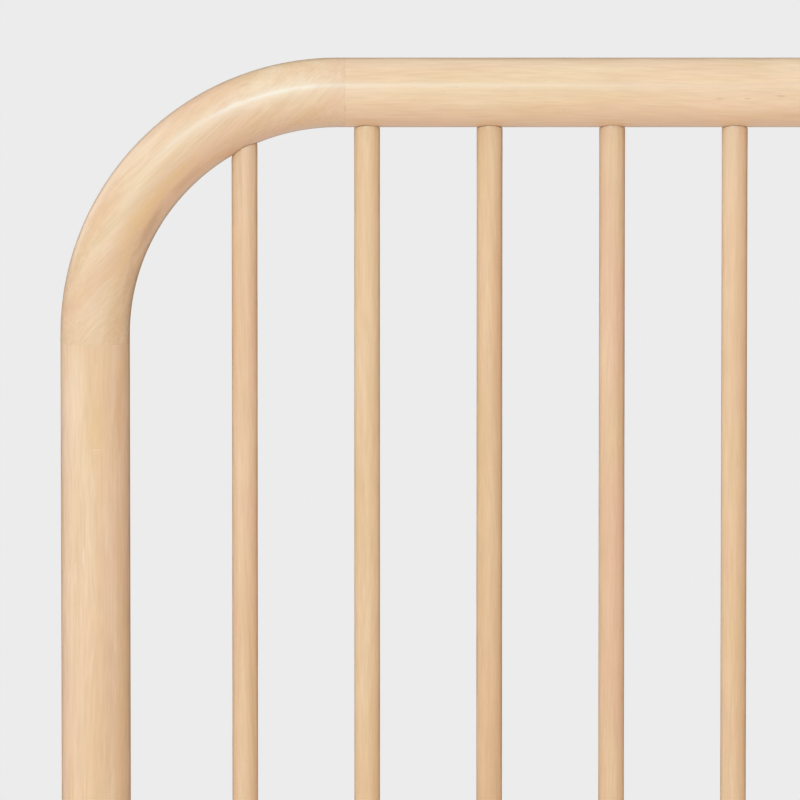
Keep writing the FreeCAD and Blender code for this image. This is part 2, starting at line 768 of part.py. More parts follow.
def make_leg_insert():
    """The flanged metal bush that the foot's stem screws into."""
    body = new_body("leg_insert")
    bore = sizes.stem_diameter / 2 + sizes.thread_clearance
    flange = sizes.insert_flange_diameter / 2
    barrel = sizes.insert_diameter / 2
    turn(body, [(bore, ZERO), (flange, ZERO), (flange, sizes.insert_flange_thickness),
                (barrel, sizes.insert_flange_thickness), (barrel, sizes.insert_length),
                (bore, sizes.insert_length)])
    place(body, x=beam_x, z=sizes.leg_floor_gap)
    keep(body)


def make_foot_stem():
    """The screw foot's stem: button and neck held in the pad, hexagon collar, plain stem."""
    body = new_body("leveller_stem")
    button = sizes.foot_button_diameter / 2
    neck = sizes.foot_neck_diameter / 2
    stem = sizes.stem_diameter / 2
    button_foot = sizes.foot_pad_floor + sizes.foot_snap_clearance
    button_top = button_foot + sizes.foot_button_thickness
    collar_foot = sizes.foot_pad_height + sizes.foot_snap_clearance
    turn(body, [(ZERO, button_foot), (button, button_foot), (button, button_top),
                (neck, button_top), (neck, collar_foot), (stem, collar_foot),
                (stem, sizes.stem_top_level - sizes.stem_chamfer),
                (stem - sizes.stem_chamfer, sizes.stem_top_level), (ZERO, sizes.stem_top_level)])
    collar = body.newObject("PartDesign::AdditivePrism", "hexagon_collar")
    collar.Polygon = 6
    bind(collar, "Circumradius", sizes.foot_hex_width / math.sqrt(3))
    bind(collar, "Height", sizes.foot_hex_height)
    place(collar, z=collar_foot)
    place(body, x=beam_x)
    keep(body)


def make_foot_pad():
    """The nylon pad: a floor disc with a cavity and a lip that snaps over the stem's button."""
    body = new_body("leveller_pad")
    outer = sizes.foot_pad_diameter / 2
    cavity = sizes.foot_button_diameter / 2 + sizes.foot_snap_clearance
    lip = sizes.foot_neck_diameter / 2 + sizes.foot_snap_clearance
    lip_foot = sizes.foot_pad_floor + sizes.foot_button_thickness + 2 * sizes.foot_snap_clearance
    edge = sizes.foot_pad_chamfer
    turn(body, [(ZERO, ZERO), (outer - edge, ZERO), (outer, edge),
                (outer, sizes.foot_pad_height - edge), (outer - edge, sizes.foot_pad_height),
                (lip, sizes.foot_pad_height), (lip, lip_foot), (cavity, lip_foot),
                (cavity, sizes.foot_pad_floor), (ZERO, sizes.foot_pad_floor)])
    place(body, x=beam_x)
    keep(body)


def make_cross_bolt():
    """The bolt through leg and beam, with its nut sunk in the leg's other side."""
    length = 2 * cross_bolt_seat + sizes.cross_nut_thickness
    bolt = make_bolt("cross_bolt_master", sizes.cross_bolt_diameter, length,
                     sizes.cross_bolt_head_diameter, sizes.cross_bolt_head_thickness,
                     sizes.cross_bolt_socket_width)
    nut = new_body("cross_nut_master")
    prism = nut.newObject("PartDesign::AdditivePrism", "hexagon")
    prism.Polygon = 6
    bind(prism, "Circumradius", sizes.cross_nut_width / math.sqrt(3))
    bind(prism, "Height", sizes.cross_nut_thickness)
    drill(nut, "thread", sizes.cross_bolt_diameter + 2 * sizes.glue_gap, sizes.cross_nut_thickness,
          (ZERO, ZERO, ZERO), AXIS_Z)
    group("leg_cross_bolt", [
        (bolt, beam_x - cross_bolt_seat, ZERO, cross_bolt_level, pointing(-AXIS_X)),
        (nut, beam_x + cross_bolt_seat, ZERO, cross_bolt_level, pointing(AXIS_X)),
    ])


# fasteners


def make_bolt(label, diameter, length, head_diameter, head_thickness, socket_width):
    """A flat-headed bolt along Z: its head stands above the origin, its shank hangs below."""
    body = new_body(label)
    shank = diameter / 2
    head = head_diameter / 2
    edge = sizes.bolt_head_chamfer
    turn(body, [(ZERO, -length), (shank - edge, -length), (shank, edge - length), (shank, ZERO),
                (head, ZERO), (head, head_thickness - edge), (head - edge, head_thickness),
                (ZERO, head_thickness)])
    socket(body, "hexagon_socket", socket_width, sizes.bolt_socket_depth, head_thickness)
    return body


def make_barrel_nut():
    """A cross dowel nut along Z with its threaded hole along Y and a slot across its top."""
    body = new_body("barrel_nut_master")
    section = new_sketch(body, "section", "XY_Plane")
    add_circle(section, sizes.barrel_nut_diameter)
    pad(body, section, sizes.barrel_nut_length, centred=True)
    drill(body, "thread", sizes.bolt_diameter + 2 * sizes.glue_gap, sizes.barrel_nut_diameter,
          (ZERO, -sizes.barrel_nut_diameter / 2, ZERO), AXIS_Y)
    slot = body.newObject("PartDesign::SubtractiveBox", "driver_slot")
    bind(slot, "Length", sizes.barrel_nut_diameter)
    bind(slot, "Width", sizes.barrel_nut_slot_width)
    bind(slot, "Height", sizes.barrel_nut_slot_depth)
    place(slot, -sizes.barrel_nut_diameter / 2, -sizes.barrel_nut_slot_width / 2,
          sizes.barrel_nut_length / 2 - sizes.barrel_nut_slot_depth)
    return body


def make_screw(label, length):
    """A countersunk wood screw along Z, head flush with the origin, with a cross recess."""
    body = new_body(label)
    shank = sizes.screw_diameter / 2
    head = sizes.screw_head_diameter / 2
    turn(body, [(ZERO, -length), (shank, sizes.screw_point_length - length), (shank, -screw_head_depth),
                (head, -sizes.screw_rim), (head, ZERO), (ZERO, ZERO)])
    for turn_angle in (0, 90):
        slot = body.newObject("PartDesign::SubtractiveBox", "cross_recess")
        bind(slot, "Length", sizes.screw_cross_span)
        bind(slot, "Width", sizes.screw_cross_width)
        bind(slot, "Height", sizes.screw_cross_depth)
        half_span, half_width = sizes.screw_cross_span / 2, sizes.screw_cross_width / 2
        if turn_angle:
            place(slot, half_width, -half_span, -sizes.screw_cross_depth, turned(turn_angle))
        else:
            place(slot, -half_span, -half_width, -sizes.screw_cross_depth)
    return body


def make_dowel(label, diameter, length):
    """A glued dowel along Z, centred on the seam that it crosses."""
    body = new_body(label)
    section = new_sketch(body, "section", "XY_Plane")
    add_circle(section, diameter)
    pad(body, section, length, centred=True)
    chamfer(body, sizes.dowel_chamfer,
            lambda edge: lies_at(edge, length / 2) or lies_at(edge, -length / 2))
    return body


def make_glide():
    """A nylon glide: a disc under the post with a pin up into it."""
    body = new_body("glide_master")
    disc = sizes.glide_diameter / 2
    pin = sizes.glide_pin_diameter / 2
    edge = sizes.glide_chamfer
    top = sizes.glide_thickness
    pin_top = top + sizes.glide_pin_length
    turn(body, [(ZERO, ZERO), (disc - edge, ZERO), (disc, edge), (disc, top),
                (pin, top), (pin, pin_top), (ZERO, pin_top)])
    return body


def corners():
    """The four post axes, as (x, y, the sign of x, the sign of y)."""
    return [(sx * post_x, sy * board_y, sx, sy) for sy in (1, -1) for sx in (-1, 1)]


def make_fasteners():
    frame_dowel = make_dowel("frame_dowel_master", sizes.frame_dowel_diameter, sizes.frame_dowel_length)
    dowels = []
    for x, y, sx, sy in corners():
        height = headboard_height if sy > 0 else footboard_height
        for side in (-1, 1):
            row_y = y + side * sizes.frame_dowel_spacing / 2
            dowels.append((frame_dowel, x, row_y, joint_level(height), None))
            rail_end = x - sx * elbow_reach
            dowels.append((frame_dowel, rail_end, row_y, height - rail_radius, pointing(AXIS_X)))
    group("frame_dowels", dowels)

    rail_dowel = make_dowel("rail_dowel_master", sizes.rail_dowel_diameter, sizes.rail_dowel_length)
    dowel_inset = rail_radius + sizes.rail_dowel_length / 2 - sizes.rail_dowel_post_depth
    group("side_rail_dowels", [(rail_dowel, x, y - sy * dowel_inset, rail_dowel_level,
                                pointing(AXIS_Y)) for x, y, sx, sy in corners()])

    bolt = make_bolt("side_rail_bolt_master", sizes.bolt_diameter, bolt_seat + bolt_reach,
                     sizes.bolt_head_diameter, sizes.bolt_head_thickness, sizes.bolt_socket_width)
    group("side_rail_bolts", [(bolt, x, y + sy * bolt_seat, z, pointing(sy * AXIS_Y))
                              for x, y, sx, sy in corners() for z in bolt_levels])

    nut = make_barrel_nut()
    group("barrel_nuts", [(nut, x, sy * barrel_nut_y, z, pointing(-sx * AXIS_X))
                          for x, y, sx, sy in corners() for z in bolt_levels])

    glide = make_glide()
    group("post_glides", [(glide, x, y, ZERO, None) for x, y, sx, sy in corners()])


def make_screws():
    slat_screw = make_screw("slat_screw_master", sizes.slat_thickness + sizes.slat_screw_bite)
    ledge_screw = make_screw("ledge_screw_master", sizes.ledge_width + sizes.ledge_screw_bite)
    beam_thickness = beam_height - lower_rail_radius
    beam_screw = make_screw("beam_screw_master", beam_thickness + sizes.beam_screw_bite)
    screws = []
    for i in range(slat_count):
        for side in (-1, 1):
            screws.append((slat_screw, side * ledge_x, first_slat_y + slat_pitch * i,
                           slat_top_level, None))
    for i in range(ledge_screw_count):
        for side in (-1, 1):
            along = -side * (ledge_screw_y + 2 * slat_pitch * i)
            screws.append((ledge_screw, side * (ledge_x - sizes.ledge_width / 2), along,
                           ledge_middle, pointing(-side * AXIS_X)))
    for side in (-1, 1):
        screws.append((beam_screw, beam_x, side * board_y, ledge_top_level, None))
    group("wood_screws", screws)


# build, check and write


def faults(item):
    """What is wrong with a sub-part's shape, as words, or nothing."""
    if item.Shape.isNull() or not item.Shape.Solids:
        return [f"{item.Label}: no solid"]
    return [] if item.Shape.isValid() else [f"{item.Label}: not valid"]


def write(folder):
    os.makedirs(folder, exist_ok=True)
    for item in parts:
        item.Shape.exportStep(os.path.join(folder, item.Label + ".step"))


make_board("headboard", headboard_height, True)
make_board("footboard", footboard_height, False)
for side_name, is_left in (("left", True), ("right", False)):
    make_side_rail(f"{side_name}_side_rail", is_left)
    make_ledge(f"{side_name}_slat_ledge", is_left)
for slat_number in range(slat_count):
    make_slat(f"slat_{slat_number + 1:02d}", first_slat_y + slat_pitch * slat_number)
make_beam()
make_leg()
make_leg_insert()
make_foot_stem()
make_foot_pad()
make_cross_bolt()
make_fasteners()
make_screws()
doc.recompute()

problems = [f"{item.Label}: {item.State}" for item in doc.Objects
            if "Invalid" in item.State or "Error" in item.State]
for part in parts:
    problems += faults(part)
if problems:
    raise RuntimeError("; ".join(problems))
write("parts")
print(len(parts), "sub-parts,", sum(len(p.Shape.Solids) for p in parts), "solids")
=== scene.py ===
import bpy
import bmesh
import math
import random
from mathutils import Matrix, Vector


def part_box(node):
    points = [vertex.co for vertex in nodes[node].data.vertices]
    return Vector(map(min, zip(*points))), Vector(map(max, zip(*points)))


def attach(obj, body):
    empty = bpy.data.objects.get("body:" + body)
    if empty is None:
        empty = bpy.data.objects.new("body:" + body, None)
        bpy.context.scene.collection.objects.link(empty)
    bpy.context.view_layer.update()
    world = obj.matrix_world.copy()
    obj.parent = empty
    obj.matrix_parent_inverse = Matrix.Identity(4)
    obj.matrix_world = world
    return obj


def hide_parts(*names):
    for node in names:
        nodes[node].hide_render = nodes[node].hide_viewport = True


# A spindle bed in pale lacquered wood, seen close up at the top left of its headboard.
# Metres. X is the width, Y runs from footboard to headboard, Z is up.

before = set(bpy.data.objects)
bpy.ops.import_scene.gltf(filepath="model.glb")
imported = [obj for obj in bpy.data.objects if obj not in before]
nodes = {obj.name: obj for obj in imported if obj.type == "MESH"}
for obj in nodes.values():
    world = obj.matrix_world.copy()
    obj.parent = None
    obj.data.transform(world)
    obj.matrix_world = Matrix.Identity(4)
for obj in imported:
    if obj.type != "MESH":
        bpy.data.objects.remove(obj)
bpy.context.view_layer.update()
boxes = {name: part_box(name) for name in nodes}
print("frame loaded:", len(nodes), "nodes")


def middleOf(node):
    low, high = boxes[node]
    return (low + high) / 2


def newGroup(name, inputs, outputs):
    # an input without a value gets one wherever the group is used
    tree = bpy.data.node_groups.new(name, "ShaderNodeTree")
    for label, kind, value in inputs:
        socket = tree.interface.new_socket(label, in_out="INPUT", socket_type=kind)
        if value is not None:
            socket.default_value = value
    for label, kind in outputs:
        tree.interface.new_socket(label, in_out="OUTPUT", socket_type=kind)
    return tree, tree.nodes.new("NodeGroupInput").outputs, tree.nodes.new("NodeGroupOutput").inputs


def plug(tree, socket, value):
    # a socket takes either another node's output or a fixed value
    if isinstance(value, bpy.types.NodeSocket):
        tree.links.new(value, socket)
    elif value is not None:
        socket.default_value = value


def calc(tree, operation, *values):
    node = tree.nodes.new("ShaderNodeMath")
    node.operation = operation
    for slot, value in enumerate(values):
        plug(tree, node.inputs[slot], value)
    return node.outputs[0]


def vectorCalc(tree, operation, *values, scale=None):
    node = tree.nodes.new("ShaderNodeVectorMath")
    node.operation = operation
    for slot, value in enumerate(values):
        plug(tree, node.inputs[slot], value)
    if scale is not None:
        plug(tree, node.inputs["Scale"], scale)
    return node.outputs["Value" if operation in ("LENGTH", "DOT_PRODUCT", "DISTANCE") else "Vector"]


def remap(tree, value, low, high, newLow=0.0, newHigh=1.0, smooth=True):
    node = tree.nodes.new("ShaderNodeMapRange")
    node.interpolation_type = "SMOOTHSTEP" if smooth else "LINEAR"
    for slot, item in zip(("Value", "From Min", "From Max", "To Min", "To Max"),
                          (value, low, high, newLow, newHigh)):
        plug(tree, node.inputs[slot], item)
    return node.outputs["Result"]


def noiseAt(tree, vector, detail=2.0, roughness=0.5, scale=1.0, colour=False):
    node = tree.nodes.new("ShaderNodeTexNoise")
    plug(tree, node.inputs["Vector"], vector)
    plug(tree, node.inputs["Scale"], scale)
    plug(tree, node.inputs["Detail"], detail)
    plug(tree, node.inputs["Roughness"], roughness)
    return node.outputs["Color" if colour else "Fac"]


def stretched(tree, vector, across, along, shift=None):
    # a place in a pattern that is much longer along the grain than across it
    place = vectorCalc(tree, "MULTIPLY", vector, (1 / across, 1 / across, 1 / along))
    if shift:
        place = vectorCalc(tree, "ADD", place, shift)
    return place


def mixColour(tree, factor, first, second):
    node = tree.nodes.new("ShaderNodeMix")
    node.data_type = "RGBA"
    plug(tree, node.inputs[0], factor)
    plug(tree, node.inputs[6], first)
    plug(tree, node.inputs[7], second)
    return node.outputs[2]


# patterns in the wood: millimetres across and along the grain, where each one starts, and the
# noise's own detail and roughness
grainPatterns = {
    "drift": (70, 330, None, 2.0, 0.5),
    "tone": (13, 150, None, 3.0, 0.55),
    "blush": (30, 130, (31.7, 8.3, 4.1), 2.0, 0.5),
    "patches": (26, 150, (3.1, 9.2, 5.5), 2.0, 0.5),
    "fibre": (0.8, 22, None, 3.0, 0.6),
    "streak": (2.0, 27, (7.7, 1.9, 2.3), 2.0, 0.5),
    "crowd": (22, 60, (1.4, 6.6, 8.8), 2.0, 0.5),
}
fleckSize = (2.4, 12)

# its surface: roughness in tight grain and what open grain adds, how deep fibres, streaks and
# flecks lie, and the lacquer's film over tight and over open grain
surface = {"roughness": 0.36, "openGrain": 0.10, "fibreDepth": 0.45, "streakDepth": 0.9,
           "fleckDepth": 0.8, "film": (1.25, 0.55)}


def grainNoise(tree, vector, pattern, colour=False):
    across, along, shift, detail, roughness = grainPatterns[pattern]
    place = stretched(tree, vector, across, along, shift)
    return noiseAt(tree, place, detail, roughness, colour=colour)


def growthRings(tree, given, bent):
    # darker late wood at the end of each year's ring, strong in one year and faint in another
    fromPith = vectorCalc(tree, "SUBTRACT", bent, given["Pith"])
    flat = vectorCalc(tree, "MULTIPLY", fromPith, (1, 1, 0))
    ring = calc(tree, "DIVIDE", vectorCalc(tree, "LENGTH", flat), given["Ring Width"])
    phase = calc(tree, "FRACT", ring)
    growth = remap(tree, phase, 0.05, 0.80)
    stop = remap(tree, phase, 0.80, 1.0, 1.0, 0.0)
    late = calc(tree, "MULTIPLY", growth, stop)
    year = tree.nodes.new("ShaderNodeTexWhiteNoise")
    year.noise_dimensions = "1D"
    plug(tree, year.inputs["W"], calc(tree, "FLOOR", ring))
    season = remap(tree, year.outputs["Value"], 0.0, 1.0, 0.15, 1.0, smooth=False)
    late = calc(tree, "MULTIPLY", late, season)
    # a ring is plain in one place and nearly gone in another
    patches = remap(tree, grainNoise(tree, bent, "patches"), 0.35, 0.62)
    return calc(tree, "MULTIPLY", late, patches)


def shortFlecks(tree, place, bent):
    # short dark flecks, gathered in some places and missing in others
    cells = tree.nodes.new("ShaderNodeTexVoronoi")
    cells.feature = "F1"
    plug(tree, cells.inputs["Vector"], stretched(tree, bent, *fleckSize))
    plug(tree, cells.inputs["Scale"], 1.0)
    cellTone = tree.nodes.new("ShaderNodeSeparateColor")
    plug(tree, cellTone.inputs[0], cells.outputs["Color"])
    chosen = calc(tree, "GREATER_THAN", cellTone.outputs[0], 0.66)
    core = remap(tree, cells.outputs["Distance"], 0.04, 0.20, 1.0, 0.0)
    crowd = remap(tree, grainNoise(tree, place, "crowd"), 0.40, 0.62)
    return calc(tree, "MULTIPLY", calc(tree, "MULTIPLY", core, chosen), crowd)


def makeTimberGroup():
    # Solid wood, grain along Z: growth rings round a pith beside the piece, slow drifts of
    # tone, fine fibres and short flecks. Everything inside is in millimetres.
    tree, given, result = newGroup("timberGrain", [
        ("Position", "NodeSocketVector", None),
        ("Pale", "NodeSocketColor", None),
        ("Honey", "NodeSocketColor", None),
        ("Blush", "NodeSocketColor", None),
        ("Late Wood", "NodeSocketColor", None),
        ("Pith", "NodeSocketVector", None),
        ("Ring Width", "NodeSocketFloat", 6.0),
        ("Ring Depth", "NodeSocketFloat", 0.16),
        ("Wander", "NodeSocketFloat", 12.0),
        ("Tone Depth", "NodeSocketFloat", 0.8),
        ("Blush Amount", "NodeSocketFloat", 0.4),
        ("Fleck Amount", "NodeSocketFloat", 0.30),
        ("Fibre Depth", "NodeSocketFloat", 0.19),
    ], [("Color", "NodeSocketColor"), ("Roughness", "NodeSocketFloat"),
        ("Height", "NodeSocketFloat"), ("Lacquer", "NodeSocketFloat")])

    place = vectorCalc(tree, "SCALE", given["Position"], scale=1000.0)

    # the grain wanders slowly along the piece
    drift = grainNoise(tree, place, "drift", colour=True)
    drift = vectorCalc(tree, "SUBTRACT", drift, (0.5, 0.5, 0.5))
    bent = vectorCalc(tree, "ADD", place, vectorCalc(tree, "SCALE", drift, scale=given["Wander"]))

    late = growthRings(tree, given, bent)
    fleck = shortFlecks(tree, place, bent)
    tone = remap(tree, grainNoise(tree, bent, "tone"), 0.32, 0.68)
    tone = calc(tree, "MULTIPLY", tone, given["Tone Depth"])
    blush = remap(tree, grainNoise(tree, bent, "blush"), 0.36, 0.66)
    blush = calc(tree, "MULTIPLY", blush, given["Blush Amount"])
    fibre = grainNoise(tree, bent, "fibre")
    streak = grainNoise(tree, bent, "streak")

    colour = mixColour(tree, tone, given["Pale"], given["Honey"])
    colour = mixColour(tree, blush, colour, given["Blush"])
    shade = calc(tree, "ADD", fibre, calc(tree, "MULTIPLY", streak, 1.6))
    shade = remap(tree, shade, 1.00, 1.60, 1.0, 0.0, smooth=False)
    for mask, depth in ((late, "Ring Depth"), (shade, "Fibre Depth"), (fleck, "Fleck Amount")):
        mask = calc(tree, "MULTIPLY", mask, given[depth])
        colour = mixColour(tree, mask, colour, given["Late Wood"])
    plug(tree, result["Color"], colour)

    rough = calc(tree, "MULTIPLY", remap(tree, streak, 0.35, 0.65), surface["openGrain"])
    rough = calc(tree, "ADD", rough, calc(tree, "MULTIPLY", fibre, surface["openGrain"]))
    plug(tree, result["Roughness"], calc(tree, "ADD", rough, surface["roughness"]))
    relief = calc(tree, "MULTIPLY", fibre, surface["fibreDepth"])
    relief = calc(tree, "ADD", relief, calc(tree, "MULTIPLY", streak, surface["streakDepth"]))
    relief = calc(tree, "SUBTRACT", relief, calc(tree, "MULTIPLY", fleck, surface["fleckDepth"]))
    plug(tree, result["Height"], relief)
    # the lacquer sinks into open grain, so its film is thinner there
    film = remap(tree, calc(tree, "ADD", streak, fibre), 0.75, 1.25, *surface["film"], smooth=False)
    plug(tree, result["Lacquer"], film)
    return tree


def splitAxes(tree, vector):
    split = tree.nodes.new("ShaderNodeSeparateXYZ")
    plug(tree, split.inputs[0], vector)
    return split.outputs


def distanceOf(tree, first, second):
    # how far a point lies from the origin of two directions
    squares = [calc(tree, "MULTIPLY", value, value) for value in (first, second)]
    return calc(tree, "SQRT", calc(tree, "ADD", *squares))


def thinLine(tree, given, far, core):
    # plain within the core's share of the width, and gone at the width
    far = calc(tree, "DIVIDE", calc(tree, "ABSOLUTE", far), given["Width"])
    return remap(tree, far, core, 1.0, 1.0, 0.0)


def patchy(tree, given, scale, low, high, least, most=1.0, detail=2.0):
    # plain in some places and faint in others
    noise = noiseAt(tree, vectorCalc(tree, "SCALE", given["Position"], scale=scale), detail)
    return remap(tree, noise, low, high, least, most)


def makeSeamGroup():
    # A glued joint sanded flush: a faint hairline, plain only where a splinter has left a nick.
    tree, given, result = newGroup("glueSeam", [
        ("Position", "NodeSocketVector", None),
        ("Joint", "NodeSocketVector", None),
        ("Direction", "NodeSocketVector", None),
        ("Nick", "NodeSocketVector", (0, 0, -1)),
        ("Nick Size", "NodeSocketFloat", 0.0016),
        ("Width", "NodeSocketFloat", 0.0005),
    ], [("Mask", "NodeSocketFloat")])
    offset = vectorCalc(tree, "SUBTRACT", given["Position"], given["Joint"])
    far = vectorCalc(tree, "DOT_PRODUCT", offset, given["Direction"])
    near = thinLine(tree, given, far, core=0.25)
    faint = patchy(tree, given, scale=90, low=0.42, high=0.66, least=0.06, most=0.34, detail=1.0)
    toNick = vectorCalc(tree, "DISTANCE", given["Position"], given["Nick"])
    nick = remap(tree, toNick, given["Nick Size"], calc(tree, "MULTIPLY", given["Nick Size"], 2.0),
                 0.95, 0.0)
    plug(tree, result["Mask"], calc(tree, "MULTIPLY", near, calc(tree, "MAXIMUM", faint, nick)))
    return tree


def makeLetInShadeGroup():
    # The dark line where a spindle is let into a round bar, as it runs round the spindle: a glue line,
    # with painted shade standing in for the shade in the crease.
    # Bend Radius 0 means a straight bar along X.
    tree, given, result = newGroup("letInShadeLine", [
        ("Position", "NodeSocketVector", None),
        ("Bar", "NodeSocketVector", None),
        ("Bar Radius", "NodeSocketFloat", None),
        ("Bend Radius", "NodeSocketFloat", 0.0),
        ("Width", "NodeSocketFloat", 0.0006),
    ], [("Mask", "NodeSocketFloat")])
    x, y, z = splitAxes(tree, vectorCalc(tree, "SUBTRACT", given["Position"], given["Bar"]))
    bent = calc(tree, "GREATER_THAN", given["Bend Radius"], 0.001)
    out = distanceOf(tree, calc(tree, "MULTIPLY", x, bent), z)
    out = calc(tree, "SUBTRACT", out, given["Bend Radius"])
    far = calc(tree, "SUBTRACT", distanceOf(tree, out, y), given["Bar Radius"])
    near = thinLine(tree, given, far, core=0.2)
    # a bend is met only above its own centre, and a straight bar at any level
    lowest = calc(tree, "MULTIPLY", calc(tree, "SUBTRACT", bent, 1.0), 9.0)
    near = calc(tree, "MULTIPLY", near, calc(tree, "GREATER_THAN", z, lowest))
    shown = patchy(tree, given, scale=190, low=0.38, high=0.6, least=0.25)
    plug(tree, result["Mask"], calc(tree, "MULTIPLY", near, shown))
    return tree


def makeHoleShadeGroup():
    # The same glue line and painted crease shade on the bar: a ring round each spindle of a row, over
    # or under it by Side.
    tree, given, result = newGroup("holeShadeLine", [
        ("Position", "NodeSocketVector", None),
        ("First", "NodeSocketVector", None),
        ("Spacing", "NodeSocketFloat", None),
        ("Radius", "NodeSocketFloat", None),
        ("Side", "NodeSocketFloat", None),
        ("Width", "NodeSocketFloat", 0.0006),
    ], [("Mask", "NodeSocketFloat")])
    x, y, z = splitAxes(tree, vectorCalc(tree, "SUBTRACT", given["Position"], given["First"]))
    half = calc(tree, "MULTIPLY", given["Spacing"], 0.5)
    wrapped = calc(tree, "WRAP", x, half, calc(tree, "MULTIPLY", half, -1.0))
    far = calc(tree, "SUBTRACT", distanceOf(tree, wrapped, y), given["Radius"])
    near = thinLine(tree, given, far, core=0.2)
    facing = calc(tree, "GREATER_THAN", calc(tree, "MULTIPLY", z, given["Side"]), 0.0)
    near = calc(tree, "MULTIPLY", near, facing)
    shown = patchy(tree, given, scale=150, low=0.36, high=0.6, least=0.3)
    plug(tree, result["Mask"], calc(tree, "MULTIPLY", near, shown))
    return tree


def makeSpeckGroup():
    # Fine unevenness for metal, plastic and the floor: a cloudy part and a grainy part.
    tree, given, result = newGroup("fineSpeck", [
        ("Position", "NodeSocketVector", None),
        ("Cloud Scale", "NodeSocketFloat", 60.0),
        ("Grain Scale", "NodeSocketFloat", 900.0),
    ], [("Cloud", "NodeSocketFloat"), ("Grain", "NodeSocketFloat")])
    plug(tree, result["Cloud"], noiseAt(tree, given["Position"], 3.0, 0.55, given["Cloud Scale"]))
    plug(tree, result["Grain"], noiseAt(tree, given["Position"], 2.0, 0.6, given["Grain Scale"]))
    return tree


def makeStreakGroup():
    # One soft streak on the front of a board, at a given place. Offsets are taken in the upright plane
    # of the board, so the streak wraps over the round bar as grain does.
    tree, given, result = newGroup("placedStreak", [
        ("Position", "NodeSocketVector", None),
        ("Middle", "NodeSocketVector", None),
        ("Slant", "NodeSocketFloat", None),
        ("Half Length", "NodeSocketFloat", None),
        ("Half Width", "NodeSocketFloat", None),
        ("Ragged", "NodeSocketFloat", None),
    ], [("Mask", "NodeSocketFloat")])
    x, y, z = splitAxes(tree, vectorCalc(tree, "SUBTRACT", given["Position"], given["Middle"]))
    cosine = calc(tree, "COSINE", given["Slant"])
    sine = calc(tree, "SINE", given["Slant"])
    along = calc(tree, "ADD", calc(tree, "MULTIPLY", x, cosine), calc(tree, "MULTIPLY", z, sine))
    across = calc(tree, "SUBTRACT", calc(tree, "MULTIPLY", z, cosine), calc(tree, "MULTIPLY", x, sine))
    along = calc(tree, "DIVIDE", along, given["Half Length"])
    across = calc(tree, "DIVIDE", across, given["Half Width"])
    # noise frays the streak's edge
    place = tree.nodes.new("ShaderNodeCombineXYZ")
    for slot, (value, scale) in enumerate(((along, 2.0), (across, 1.4), (x, 40.0))):
        plug(tree, place.inputs[slot], calc(tree, "MULTIPLY", value, scale))
    fray = calc(tree, "SUBTRACT", noiseAt(tree, place.outputs[0], detail=2.0), 0.5)
    fray = calc(tree, "MULTIPLY", fray, calc(tree, "MULTIPLY", given["Ragged"], 4.0))
    far = calc(tree, "ADD", distanceOf(tree, along, across), fray)
    near = remap(tree, far, 0.25, 1.15, 1.0, 0.0)
    plug(tree, result["Mask"], calc(tree, "MULTIPLY", near, calc(tree, "LESS_THAN", y, 0.0)))
    return tree


timberGrain = makeTimberGroup()
placedStreak = makeStreakGroup()
glueSeam = makeSeamGroup()
letInShadeLine = makeLetInShadeGroup()
holeShadeLine = makeHoleShadeGroup()
fineSpeck = makeSpeckGroup()


def useGroup(tree, group, **values):
    # value names are the group's socket names with the spaces left out
    node = tree.nodes.new("ShaderNodeGroup")
    node.node_tree = group
    sockets = {socket.name.replace(" ", ""): socket for socket in node.inputs}
    for label, value in values.items():
        plug(tree, sockets[label[0].upper() + label[1:]], value)
    return node.outputs


def newMaterial(name):
    material = bpy.data.materials.new(name)
    material.use_nodes = True
    tree = material.node_tree
    shader = next(n for n in tree.nodes if n.type == "BSDF_PRINCIPLED")
    return material, tree, shader.inputs


def objectPosition(tree):
    return tree.nodes.new("ShaderNodeTexCoord").outputs["Object"]


# tones of the pale hardwood, linear
woodTones = {
    "pale": (0.838, 0.590, 0.368, 1),
    "honey": (0.792, 0.518, 0.286, 1),
    "blush": (0.828, 0.513, 0.337, 1),
    "lateWood": (0.580, 0.322, 0.155, 1),
    # jointShadow: the dark of a glue line, and painted shade where a spindle meets a bar
    "jointShadow": (0.150, 0.075, 0.035, 1),
}

# tones of the placed streaks
streakTones = {
    # light: pale grain, and on the headboard's corner painted highlight
    "light": (0.870, 0.670, 0.480, 1),
    "honey": (0.770, 0.470, 0.225, 1),
    "tan": (0.740, 0.440, 0.250, 1),
    # dark: flecks, and on the headboard's corner painted shade along the inner edge
    "dark": (0.400, 0.190, 0.090, 1),
}

# how the satin lacquer sits on it
lacquer = {"coat": 0.80, "coatRoughness": 0.26, "specular": 0.30, "bareSpecular": 0.25,
           "bump": 0.00005, "bumpStrength": 0.7}

# turns that bring each direction of the bed to the timber's own Z
grainTurns = {
    "upright": (0.0, 0.0, 0.0),
    "across": (0.0, math.radians(-90), 0.0),
    "along": (math.radians(90), 0.0, 0.0),
    # the corners are sawn from a straight plank, so the grain cuts across the bend
    "leftCorner": (0.0, math.radians(-45), 0.0),
    "rightCorner": (0.0, math.radians(45), 0.0),
}

# how a piece was cut from its log, drawn at random: lean of the grain in radians, where the piece
# begins along the timber in metres, and the pith's place in millimetres
sawing = {"lean": 0.03, "start": (1, 9), "pithX": (38, 60), "pithY": (-20, 20)}

# the first seed of each kind of piece
seeds = {
    "headboard": {"post": 100, "corner": 110, "topRail": 120, "lowerRail": 130,
                  "spindle": 300, "turning": 900},
    "footboard": {"post": 200, "corner": 210, "topRail": 220, "lowerRail": 230,
                  "spindle": 400, "turning": 940},
    "base": {"sideRail": 500, "ledge": 510, "beam": 520, "leg": 530, "dowel": 540, "slat": 600},
}


def placed(tree, vector, rotation, location=None):
    node = tree.nodes.new("ShaderNodeMapping")
    node.vector_type = "POINT"
    plug(tree, node.inputs["Vector"], vector)
    plug(tree, node.inputs["Rotation"], rotation)
    plug(tree, node.inputs["Location"], location)
    return node.outputs[0]


